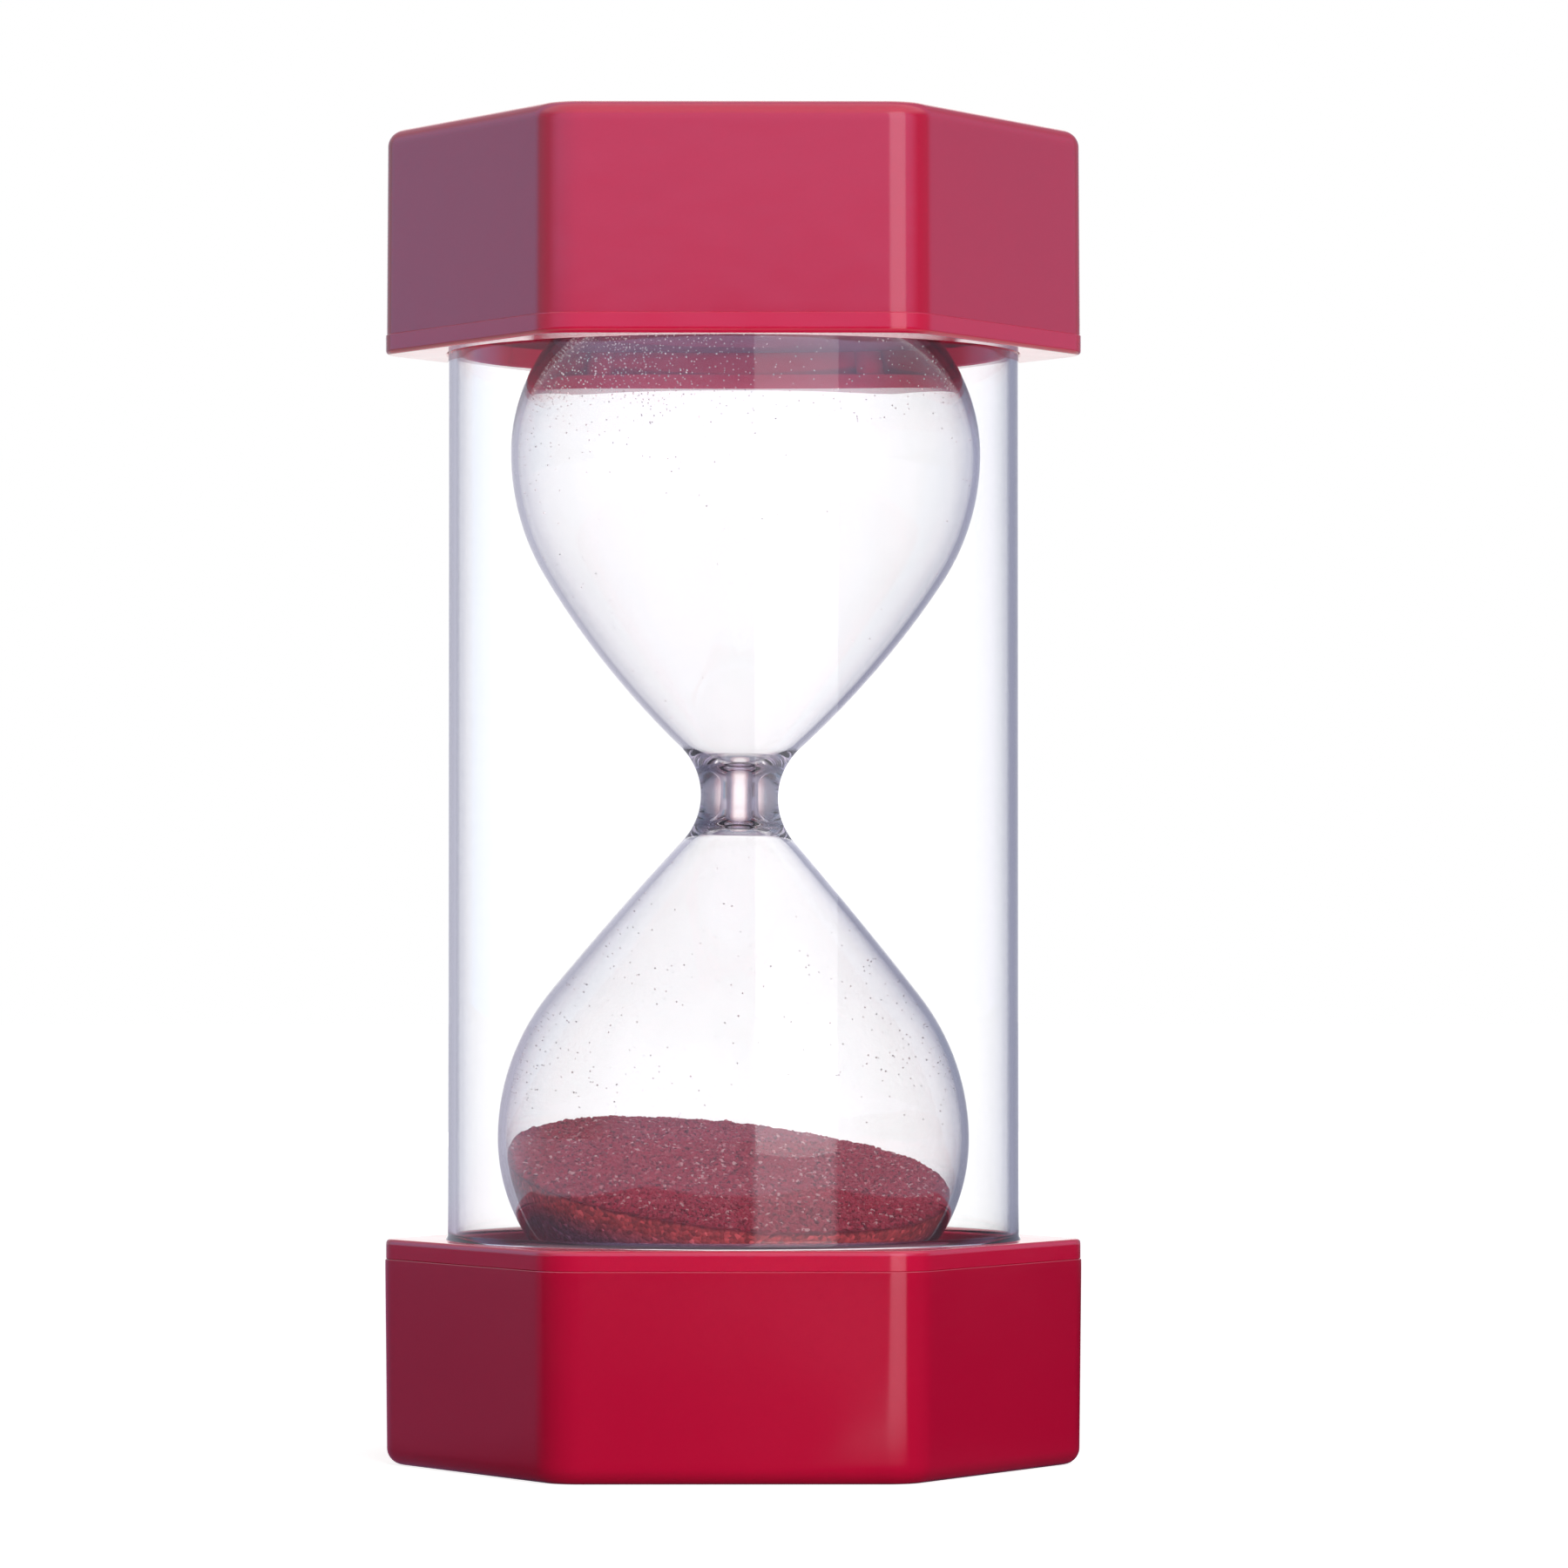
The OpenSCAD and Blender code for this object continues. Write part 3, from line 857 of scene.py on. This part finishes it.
# The inside of one half, from the fine hole to the flat end
def vialInside(belly, extra):
    wall, half, funnel = vialShape["wall"], vialShape["holeLength"] / 2, vialShape["funnel"]
    mouth = vialShape["holeRadius"] + funnel
    x, z, lowDeg, _ = flankArc(belly)
    radius = belly - wall
    foot = min(math.asin((z - half - funnel) / radius), math.acos((mouth - x) / radius))
    flank = arcPoints(x, z, radius, -math.degrees(foot), -lowDeg, vialShape["bellyStep"])
    opening = arcPoints(mouth, half, funnel, 180, 90, vialShape["funnelStep"])
    return opening + flank + bulbWall(wall, lowDeg, extra)[1:]


# The outside of one half, from the waist to the flat end
def vialOutside(belly):
    x, z, lowDeg, footDeg = flankArc(belly)
    sweep = arcPoints(sweepCentre, 0, vialShape["sweep"], 180, 180 - footDeg)
    flank = arcPoints(x, z, belly, -footDeg, -lowDeg, vialShape["bellyStep"])
    return sweep[1:] + flank[1:] + bulbWall(0, lowDeg)[1:]


upperInside = vialInside(vialShape["bellyUp"], vialShape["thickEnd"])
lowerInside = [(r, -z) for r, z in vialInside(vialShape["bellyDown"], 0.0)]


def makeVial():
    end = bulbRise + endArc
    top, ceiling = end + vialShape["spoutHeight"], end - vialShape["wall"] - vialShape["thickEnd"]
    outer, bore = vialShape["spoutRadius"], vialShape["spoutBore"]
    corners = [(endFlat, end), (outer, end), (outer, top), (bore, top), (bore, ceiling), (outer, ceiling)]
    profile = [(0, -end)] + [(r, -z) for r, z in reversed(vialOutside(vialShape["bellyDown"]))]
    profile += [(vialShape["waistRadius"], 0)] + vialOutside(vialShape["bellyUp"])
    profile += softRun(corners, vialShape["spoutRound"], vialShape["roundSteps"])
    profile += upperInside[::-1] + lowerInside + [(0, vialShape["wall"] - end)]
    mesh = turnProfile("blown_vial", steadyRuns(profile, vialShape["support"]), vialShape["turns"])
    for vertex in mesh.vertices:
        away = keepShare((vertex.co.xy.length - vialShape["wobbleFrom"]) / vialShape["wobbleFade"])
        drift = noise.noise(vertex.co * vialShape["wobbleScale"] + wobbleStart) * vialShape["wobble"] * away
        vertex.co += Vector((vertex.co.x, vertex.co.y, 0)).normalized() * drift
    mesh.transform(leanTurn)
    finishMesh(mesh, vialShape["sharpAngle"])
    return addPiece("blown_vial", mesh, vialClear, "timer", "glass_vial")


for clearPiece in (makeTube(), makeVial()):
    clearPiece.visible_shadow = False  # lamps reach the sand through the clear walls
print("tube and vial made")


sandShape = {
    "gap": 0.22 * mm,  # to the glass
    "depth": 20.3 * mm,  # on the axis, before the near side slid
    "lean": 10,  # slope of the surface, in degrees
    "fall": -51,  # direction of the slope, from +X towards +Y
    "slideLean": 15,
    "slideFall": -67,
    "slideDrop": 1.2 * mm,
    "slideBlend": 1.5 * mm,
    "crown": 200 * mm,
    "swell": 0.35 * mm,  # slow rise and fall of the surface
    "swellScale": 95,
    "grit": 0.28 * mm,  # small bumps on it
    "gritScale": 640,
    "edgeDips": (-20, 60),  # the edge on the glass lies between these, in degrees below the bulb's widest
    "edgeTries": 40,
    "rings": 70,
    "wallRings": 26,
    "wallEase": 1.5,  # closer rings near the surface
    "sharpAngle": 60,
    "turns": 180,
}
grainShape = {
    "size": 0.40 * mm,
    "perSquareMetre": 6.8e6,
    "seed": 11,
}


# Height of a leaning, crowned surface that passes the axis at a given height
def crownLevel(x, y, height, leanDeg, fallDeg):
    lean, fall = math.radians(leanDeg), math.radians(fallDeg)
    normal = polar(math.sin(lean), fall, math.cos(lean))
    centre = Vector((0, 0, height)) - normal * sandShape["crown"]
    return centre.z + math.sqrt(sandShape["crown"] ** 2 - (x - centre.x) ** 2 - (y - centre.y) ** 2)


def sandLevel(x, y):
    height = bulbCentre.z - endArc + vialShape["wall"] + sandShape["depth"]
    first = crownLevel(x, y, height, sandShape["lean"], sandShape["fall"])
    slid = crownLevel(x, y, height - sandShape["slideDrop"], sandShape["slideLean"], sandShape["slideFall"])
    share = keepShare(0.5 + (slid - first) / sandShape["slideBlend"] / 2)
    level = slid + (first - slid) * share - sandShape["slideBlend"] * share * (1 - share)
    swell, grit = sandShape["swellScale"], sandShape["gritScale"]
    level += noise.noise(Vector((x * swell, y * swell, 0.4))) * sandShape["swell"]
    return level + noise.noise(Vector((x * grit, y * grit, 2.1))) * sandShape["grit"]


# A point of the upright vial's lower end: dip is 0 at the bulb's widest and 90 degrees at its flat end
def endPoint(depth, dip, around):
    flat, curve = (endFlat, endArc) if dip >= 0 else (0.0, bulbRadius)
    return polar(flat + (curve - depth) * math.cos(dip), around, -bulbRise - (curve - depth) * math.sin(dip))


def sandWall(dip, around):
    return leanTurn @ endPoint(vialShape["wall"] + sandShape["gap"], dip, around)


def makeSand():
    turns, rings, wallRings = sandShape["turns"], sandShape["rings"], sandShape["wallRings"]
    angles = fullTurn(turns)
    points, onTop, sunk = [Vector((0, 0, sandLevel(0, 0)))], [1.0], [0.0]
    edges, dips = [], []
    for around in angles:
        low, high = (math.radians(dip) for dip in sandShape["edgeDips"])
        for _ in range(sandShape["edgeTries"]):
            middle = (low + high) / 2
            p = sandWall(middle, around)
            low, high = (middle, high) if p.z > sandLevel(p.x, p.y) else (low, middle)
        dips.append(low)
        edges.append(sandWall(low, around))
    for ring in range(1, rings + 1):
        for edge in edges:
            x, y = edge.x * (ring / rings), edge.y * (ring / rings)
            points.append(Vector((x, y, sandLevel(x, y))) if ring < rings else edge)
            onTop.append(1.0 if ring < rings - 1 else 0.0)
            sunk.append(0.0)
    for ring in range(1, wallRings + 1):
        for around, dip, edge in zip(angles, dips, edges):
            share = (ring / wallRings) ** sandShape["wallEase"]
            points.append(sandWall(dip + (math.pi / 2 - dip) * share, around))
            onTop.append(0.0)
            sunk.append((edge.z - points[-1].z) / sandShape["depth"])
    foot = len(points)
    points.append(leanTurn @ Vector((0, 0, vialShape["wall"] + sandShape["gap"] - bulbRise - endArc)))
    onTop.append(0.0)
    sunk.append(1.0)
    faces = []
    for i in range(turns):
        j = (i + 1) % turns
        faces.append((0, 1 + i, 1 + j))
        for ring in range(rings + wallRings - 1):
            a, b = 1 + ring * turns, 1 + (ring + 1) * turns
            faces.append((a + i, b + i, b + j, a + j))
        last = 1 + (rings + wallRings - 1) * turns
        faces.append((last + j, last + i, foot))
    mesh = newMesh("sand_bed", points, faces)
    markPoints(mesh, "bed", onTop)
    markPoints(mesh, "sunk", sunk)
    return finishMesh(mesh, sandShape["sharpAngle"])


def scatterOn(mesh, tree, shape, material, name):
    values = {"Density": shape["perSquareMetre"], "Size": shape["size"], "Seed": shape["seed"], "Finish": material}
    return bakeTree(mesh, tree, values, name)


bed = makeSand()
grainMesh = scatterOn(bed, makeScatterTree("grainScatter", "bed"), grainShape, sandGrain, "sand_grains")
addPiece("sand_bed", bed, sandBed, "sand", "sand_heap")
addPiece("sand_grains", grainMesh, sandGrain, "sand")
print("sand made,", len(grainMesh.polygons), "grain faces")


dustShape = {
    "size": 0.13 * mm,
    "perSquareMetre": 1.5e6,
    "seed": 5,
    "offWall": 0.16 * mm,
    "clearRadius": 6 * mm,  # none in the waist
    "turns": 90,
    "clumpScale": 260,
    "clumpMean": 0.55,
    "clumpSwing": 0.9,
    "upperFade": 4 * mm,  # starts this far above the upper bulb's middle, and is full as far again
    "leftFrom": 4 * mm,  # more to the left of this
    "leftFade": 16 * mm,
    "upperRight": 0.18,
    "upperLeft": 0.82,  # on top of the right's
    "flankLeft": 0.10,
    "upperLeast": 0.006,
    "lowerFrom": 1 * mm,  # above the lower bulb's middle
    "lowerFade": 6 * mm,
    "lowerMiddle": 0.05,
    "lowerSides": 0.16,
    "lowerTop": 0.35,  # starts this far down from the waist to the bulb's middle
    "lowerLeast": 0.01,
}
clumpStart = Vector((2.0, 7.0, 4.0))


# How dusty the inside is at a point of the upright vial: most at the upper left, a little above the sand
def dustAmount(point):
    swing = dustShape["clumpSwing"] * noise.noise(point * dustShape["clumpScale"] + clumpStart)
    if point.z > 0:
        high = keepShare((point.z - bulbRise - dustShape["upperFade"]) / dustShape["upperFade"])
        leftward = keepShare((dustShape["leftFrom"] - point.x) / dustShape["leftFade"])
        level = high * (dustShape["upperRight"] + dustShape["upperLeft"] * leftward)
        level += dustShape["flankLeft"] * leftward * min(1.0, point.z / bulbRise) ** 4 + dustShape["upperLeast"]
    elif point.z < -dustShape["lowerTop"] * bulbRise:
        above = keepShare((point.z + bulbRise - dustShape["lowerFrom"]) / dustShape["lowerFade"])
        level = above * (dustShape["lowerMiddle"] + dustShape["lowerSides"] * (abs(point.x) / bulbRadius) ** 2)
    else:
        level = dustShape["lowerLeast"]
    return level * max(0.0, dustShape["clumpMean"] + swing)


def makeDust():
    tree = makeScatterTree("dustScatter", "dusty")
    work = bmesh.new()
    for inside in (upperInside, lowerInside):
        profile = [(r - dustShape["offWall"], z) for r, z in inside if r > dustShape["clearRadius"]]
        wall = turnProfile("dustWall", profile, dustShape["turns"])
        markPoints(wall, "dusty", [dustAmount(vertex.co) for vertex in wall.vertices])
        wall.transform(leanTurn)
        work.from_mesh(scatterOn(wall, tree, dustShape, glassDust, "dust"))
    mesh = bpy.data.meshes.new("glass_dust")
    work.to_mesh(mesh)
    work.free()
    addPiece("glass_dust", mesh, glassDust, "timer")
    print("dust made,", len(mesh.polygons), "faces")


makeDust()


softShape = {
    "padEdge": 0.35 * mm,
    "padInset": 0.15 * mm,
    "padSteps": 5,
    "rimRound": 1.2 * mm,
    "rimSteps": 6,
    "footSteps": 4,
    "dishGap": 0.2 * mm,
    "dishSteps": 14,
    "holeRadius": 9 * mm,
    "holeBevel": 0.3 * mm,
    "widen": 1.03,  # flat lips at the dish's rim and at the hole's foot
    "turns": 120,
}


# The disc on a cap's floor, with rounded edges
def makePad():
    low, high = padBox[0].z, padBox[1].z
    radius = padBox[1].x - softShape["padInset"]
    corners = [(0, low), (radius, low), (radius, high), (0, high)]
    edge = softRun(corners, softShape["padEdge"], softShape["padSteps"])
    profile = [(0, low), (radius / 2, low)] + edge + [(radius / 2, high), (0, high)]
    return finishMesh(turnProfile("pad", profile, softShape["turns"]))


def widened(loop, factor, height):
    return [Vector((p.x * factor, p.y * factor, height)) for p in loop]


# The dished ring under a bulb's end: outer wall upright, dish and hole leaning with the vial
def makeCradle(upper):
    low, high, outer = tubeFoot, cradleBox[1].z, cradleBox[1].x
    soft, depth, steps = softShape["rimRound"], -softShape["dishGap"], softShape["dishSteps"]
    turn = turnUp.inverted() @ leanTurn @ turnOver if upper else leanTurn
    wall = softCorner((0, low), (outer, low), (outer, high), soft / 2, softShape["footSteps"])
    wall += softCorner((outer, low), (outer, high), (0, high), soft, softShape["rimSteps"])
    holeDip = math.acos((softShape["holeRadius"] - endFlat) / (endArc - depth))
    mouthDip = math.asin((bulbCentre.z - high + soft / 2) / (endArc - depth))
    dips = [mouthDip + (holeDip - mouthDip) * i / steps for i in range(steps + 1)]
    angles = fullTurn(softShape["turns"])
    dish = [[turn @ endPoint(depth, dip, a) for a in angles] for dip in dips]
    loops = [[polar(radius, a, height) for a in angles] for radius, height in wall]
    loops += [widened(dish[0], softShape["widen"], high)] + dish
    loops.append(widened(dish[-1], 1, low + softShape["holeBevel"]))
    loops.append(widened(dish[-1], softShape["widen"], low))
    return finishMesh(stackLoops("cradle", loops, wrap=True))


for name, node, mesh in (
        ("lower_foam_disc", "lower_pad", makePad()), ("upper_foam_disc", "upper_pad", makePad()),
        ("lower_foam_ring", "lower_cradle", makeCradle(False)),
        ("upper_foam_ring", "upper_cradle", makeCradle(True))):
    if node.startswith("upper"):
        mesh.transform(turnUp)
    piece = addPiece(name, mesh, foam, "timer", node)

plugShape = {
    "shank": 5 * mm,
    "shankFit": 0.02 * mm,
    "shankRound": 0.9 * mm,
    "head": 5.5 * mm,
    "headHeight": 1.75 * mm,
    "headRound": 0.45 * mm,
    "dimple": 0.4 * mm,
    "dimpleRadius": 3 * mm,
    "dimpleSide": 0.8,  # the dimple's side comes in and goes down to this share
    "roundSteps": (5, 4, 5),  # shank, head's lower edge and upper edge
    "sharpAngle": 45,
    "turns": 72,
}


# The stopper in the filling spout, with a shallow dimple on its head
def makePlug():
    rim = bulbRise + endArc + vialShape["spoutHeight"]
    low, top = rim - plugShape["shank"], rim + plugShape["headHeight"]
    shank, head, soft = vialShape["spoutBore"] - plugShape["shankFit"], plugShape["head"], plugShape["headRound"]
    dimple, depth, side = plugShape["dimpleRadius"], plugShape["dimple"], plugShape["dimpleSide"]
    first, second, third = plugShape["roundSteps"]
    profile = [(0, low)] + softCorner((0, low), (shank, low), (shank, rim), plugShape["shankRound"], first)
    profile += [(shank, rim)] + softCorner((shank, rim), (head, rim), (head, top), soft, second)
    profile += softCorner((head, rim), (head, top), (0, top), soft, third)
    profile += [(dimple, top), (dimple * side, top - depth * side), (0, top - depth)]
    mesh = turnProfile("spout_plug", profile, plugShape["turns"])
    mesh.transform(leanTurn)
    finishMesh(mesh, plugShape["sharpAngle"])
    addPiece("spout_plug", mesh, plugIvory, "timer", "filler_plug")


makePlug()
print("cushions and plug made")


# Stage: a pale floor that reads white to the eye and through the glass, and keeps the shadow
stage = {
    "floorSize": 8.0,
    "floorColour": (0.55, 0.55, 0.55, 1),
    "floorGlow": 0.86,
    "glowSpan": (0.15, 0.9),  # the glow grows to full white over this distance from the axis
    "throughGlass": 0.25,  # makes up for what clear walls reflect away
    "fill": 0.07,  # light from all round on dull surfaces
    "overhead": (0.40, 0.37, 0.46, 1),  # far above, seen through thick glass
    "overheadSpan": (0.35, 0.75),
}
glossBack = {  # what the gloss shows behind the object
    "middle": (1.3, 1.3, 1.3, 1),
    "left": (0.54, 0.54, 0.64, 1),
    "right": (0.34, 0.35, 0.46, 1),
    "leftToRight": (-0.1, 0.1),
    "halfWidth": (0.12, 0.26),  # of the white in the middle
}
glossFloor = {  # the floor as the gloss shows it, dark at low angles
    "left": (0.42, 0.17, 0.33, 1),
    "right": (0.005, 0.005, 0.02, 1),
    "front": (0.03, 0.028, 0.05, 1),
    "frontSpan": (0.02, -0.06),
    "lowSpan": (0.80, 0.92),
    "shadow": (0.16, 0.08),  # dark this near to the axis
    "lampPool": (1.9, 1.8, 2.0, 1),
    "poolLeft": (0.11, 0.18),  # slants from the axis
    "poolRight": (0.92, 0.78),
    "poolSpan": (-0.05, -0.15),
    "nearLeft": (0.82, 0.70, 0.90, 1),  # in front, off inner walls
    "nearRight": (0.62, 0.54, 0.68, 1),
    "nearSpan": (0.0, 0.06),
    "innerBack": (-0.02, 0.06),
    "farSpan": (0.35, 0.9),
}
glossRoom = {  # the room as the gloss shows it
    "left": (0.66, 0.92, 1.44, 1),
    "right": (0.60, 0.60, 0.95, 1),
    "sideLeft": (0.75, 0.72, 0.95, 1),  # square to the view
    "sideRight": (0.40, 0.38, 0.55, 1),
    "sideSpan": (0.42, 0.22),
    "front": (1.6, 1.6, 2.65, 1),
    "frontSpan": (-0.2, -0.7),
    "frontLift": (0.05, 0.08),  # as dark as the floor's front below this
    "sky": (1.9, 1.8, 2.1, 1),
    "skyRise": (0.35, 0.7),
    "skySpan": (0.5, 0.2),
    "innerTint": (0.46, 0.44, 0.36, 1),  # off inner walls
    "innerSky": (0.25, 0.23, 0.20, 1),
    "innerSkyRise": (0.5, 0.85),
    "backSpan": (0.58, 0.72),
}


# Paths that met no dull surface, those of them that met a gloss, and those that came through a clear wall
def addPaths(tree):
    path = addNode(tree, "ShaderNodeLightPath").outputs
    bright = addMath(tree, "LESS_THAN", path["Diffuse Depth"], 0.5)
    gloss = addProduct(tree, bright, addMath(tree, "GREATER_THAN", path["Glossy Depth"], 0.5))
    inner = addMath(tree, "GREATER_THAN", path["Transmission Depth"], 0.5)
    return path, bright, gloss, inner


# Raises a level for what shows straight through clear walls
def addThroughGlass(tree, path, gloss, level):
    through = addMath(tree, "SUBTRACT", path["Is Transmission Ray"], gloss, clamp=True)
    return addScaled(tree, through, stage["throughGlass"], level)


# Dim to the left and right, and the same with white in the middle
def addBack(tree, across, onRight):
    sides = addMix(tree, onRight, glossBack["left"], glossBack["right"])
    aside = addStep(tree, addMath(tree, "ABSOLUTE", across), glossBack["halfWidth"])
    return sides, addMix(tree, aside, glossBack["middle"], sides)


# What the floor shows in a gloss: dark at low angles and close by, white far behind, a pool below the soft box
def addFloorTone(tree, place, reach, inner):
    x, y = place["X"], place["Y"]
    onRight = addStep(tree, x, glossBack["leftToRight"])
    slant = addMath(tree, "DIVIDE", x, addProduct(tree, y, -1.0))
    back, far = addBack(tree, slant, onRight)
    sides = addMix(tree, onRight, glossFloor["left"], glossFloor["right"])
    dark = addMix(tree, addStep(tree, y, glossFloor["frontSpan"]), sides, glossFloor["front"])
    pool = addProduct(tree, addStep(tree, slant, glossFloor["poolLeft"]),
                      addStep(tree, slant, glossFloor["poolRight"]), addStep(tree, y, glossFloor["poolSpan"]))
    dark = addMix(tree, pool, dark, glossFloor["lampPool"])
    low = addMath(tree, "ADD", addStep(tree, addFacing(tree), glossFloor["lowSpan"]),
                  addStep(tree, reach, glossFloor["shadow"]), clamp=True)
    outer = addMix(tree, low, white, dark)
    nearRight = addStep(tree, x, glossFloor["nearSpan"])
    before = addMix(tree, nearRight, glossFloor["nearLeft"], glossFloor["nearRight"])
    within = addMix(tree, addStep(tree, y, glossFloor["innerBack"]), before, back)
    return addMix(tree, addStep(tree, y, glossFloor["farSpan"]), addMix(tree, inner, outer, within), far)


# What the room shows in a gloss
def addRoomTone(tree, look, inner):
    x, y, z = look["X"], look["Y"], look["Z"]
    onRight = addStep(tree, x, glossBack["leftToRight"])
    far = addBack(tree, x, onRight)[1]
    tone = addMix(tree, onRight, glossRoom["left"], glossRoom["right"])
    square = addMix(tree, onRight, glossRoom["sideLeft"], glossRoom["sideRight"])
    tone = addMix(tree, addStep(tree, y, glossRoom["sideSpan"]), tone, square)
    lifted = addMath(tree, "ADD", addStep(tree, z, glossRoom["frontLift"]), inner, clamp=True)
    front = addMix(tree, lifted, glossFloor["front"], glossRoom["front"])
    tone = addMix(tree, addStep(tree, y, glossRoom["frontSpan"]), tone, front)
    sky = addProduct(tree, addStep(tree, z, glossRoom["skyRise"]), addStep(tree, y, glossRoom["skySpan"]))
    outer = addMix(tree, sky, tone, glossRoom["sky"])
    within = addMix(tree, 1.0, tone, glossRoom["innerTint"], "MULTIPLY")
    within = addMix(tree, addStep(tree, z, glossRoom["innerSkyRise"]), within, glossRoom["innerSky"])
    return addMix(tree, addStep(tree, y, glossRoom["backSpan"]), addMix(tree, inner, outer, within), far)


def makeFloor():
    half = stage["floorSize"] / 2
    corners = [(-half, -half, 0), (half, -half, 0), (half, half, 0), (-half, half, 0)]
    mesh = newMesh("floor", corners, [(0, 1, 2, 3)])
    material, tree, shader = newMaterial("paleFloor", {"Roughness": 0.9, "Specular IOR Level": 0.0})
    path, bright, gloss, inner = addPaths(tree)
    place = addPlace(tree)
    reach = addNode(tree, "ShaderNodeVectorMath", {"operation": "LENGTH"}, {0: place}).outputs["Value"]
    shown = addFloorTone(tree, addSplit(tree, place), reach, inner)
    indirect = addMath(tree, "ADD", path["Is Transmission Ray"], path["Is Glossy Ray"], clamp=True)
    seen = addMath(tree, "ADD", path["Is Camera Ray"], indirect, clamp=True)
    glow = addScaled(tree, addStep(tree, reach, stage["glowSpan"]), 1 - stage["floorGlow"], stage["floorGlow"])
    level = addThroughGlass(tree, path, gloss, glow)
    setInputs(tree, shader, {
        "Base Color": addMix(tree, addProduct(tree, bright, indirect), stage["floorColour"], (0, 0, 0, 1)),
        "Emission Color": addMix(tree, gloss, white, shown),
        "Emission Strength": addProduct(tree, seen, bright, level),
    })
    floor = placeMesh("floor", mesh, material)


def makeWorld():
    world = bpy.data.worlds.new("studio")
    bpy.context.scene.world = world
    world.use_nodes = True
    tree = world.node_tree
    tree.nodes.clear()
    path, bright, gloss, inner = addPaths(tree)
    look = addSplit(tree, addNode(tree, "ShaderNodeTexCoord").outputs["Generated"])
    above = addProduct(tree, addStep(tree, look["Z"], stage["overheadSpan"]), path["Is Transmission Ray"])
    straight = addMix(tree, above, white, stage["overhead"])
    shown = addMix(tree, gloss, straight, addRoomTone(tree, look, inner))
    fill = (stage["fill"],) * 3 + (1,)
    background = addNode(tree, "ShaderNodeBackground", inputs={
        "Color": addMix(tree, bright, fill, shown), "Strength": addThroughGlass(tree, path, gloss, 1.0)})
    addNode(tree, "ShaderNodeOutputWorld", inputs={"Surface": background.outputs["Background"]})


def aimObject(piece, direction, axis):
    piece.rotation_mode = "QUATERNION"
    piece.rotation_quaternion = direction.to_track_quat(axis, "Y")


# A panel at an angle to the right of the camera, aimed at a height on the axis; it either shows in gloss or lights
def addLamp(name, azimuth, elevation, distance, size, radiance, reflected=False, aimHeight=waistHeight):
    lamp = bpy.data.lights.new(name, "AREA")
    lamp.shape = "RECTANGLE"
    lamp.size, lamp.size_y = size
    lamp.energy = radiance * 4 * size[0] * size[1]  # watts that give this radiance
    piece = placeObject(name, lamp)
    a, e = math.radians(azimuth), math.radians(elevation)
    toward = Vector((math.sin(a) * math.cos(e), -math.cos(a) * math.cos(e), math.sin(e)))
    piece.location = Vector((0, 0, aimHeight)) + toward * distance
    aimObject(piece, toward, "Z")
    piece.visible_camera = False
    piece.visible_transmission = False
    piece.visible_glossy = reflected
    piece.visible_diffuse = not reflected


cameraShape = {
    "distance": 0.945,
    "height": 64.9 * mm,
    "aimX": 6.07 * mm,
    "aimZ": 81.5 * mm,
    "sensor": 36.0,
    "frameWidth": 188.2 * mm,  # width of the picture at the object's axis
}


def makeCamera():
    camera = bpy.data.cameras.new("camera")
    camera.sensor_width = cameraShape["sensor"]
    camera.lens = cameraShape["sensor"] * cameraShape["distance"] / cameraShape["frameWidth"]
    piece = placeObject("camera", camera)
    piece.location = (0, -cameraShape["distance"], cameraShape["height"])
    aimObject(piece, Vector((cameraShape["aimX"], 0, cameraShape["aimZ"])) - piece.location, "-Z")
    bpy.context.scene.camera = piece


makeFloor()
makeWorld()
addLamp("rightSoftBox", azimuth=25, elevation=12, distance=1.25, size=(0.76, 1.3), radiance=1.5, reflected=True)
addLamp("keyPanel", azimuth=22, elevation=50, distance=1.5, size=(0.9, 0.9), radiance=3.5)
addLamp("frontPanel", azimuth=21, elevation=20, distance=1.6, size=(0.9, 0.9), radiance=1.85)
addLamp("lowPanel", azimuth=14, elevation=-3, distance=1.05, size=(0.6, 0.045), radiance=25)
addLamp("backPanel", azimuth=180, elevation=1.5, distance=1.5, size=(0.9, 0.12), radiance=30)
addLamp("innerPanel", azimuth=0, elevation=-30, distance=0.035, size=(0.036, 0.008), radiance=16.5,
        aimHeight=122 * mm)  # into the upper cap
makeCamera()

scene = bpy.context.scene
scene.view_settings.view_transform = "Standard"
scene.cycles.max_bounces = 32
scene.cycles.transmission_bounces = 32
scene.cycles.glossy_bounces = 8
scene.cycles.transparent_max_bounces = 16

print("stage set")
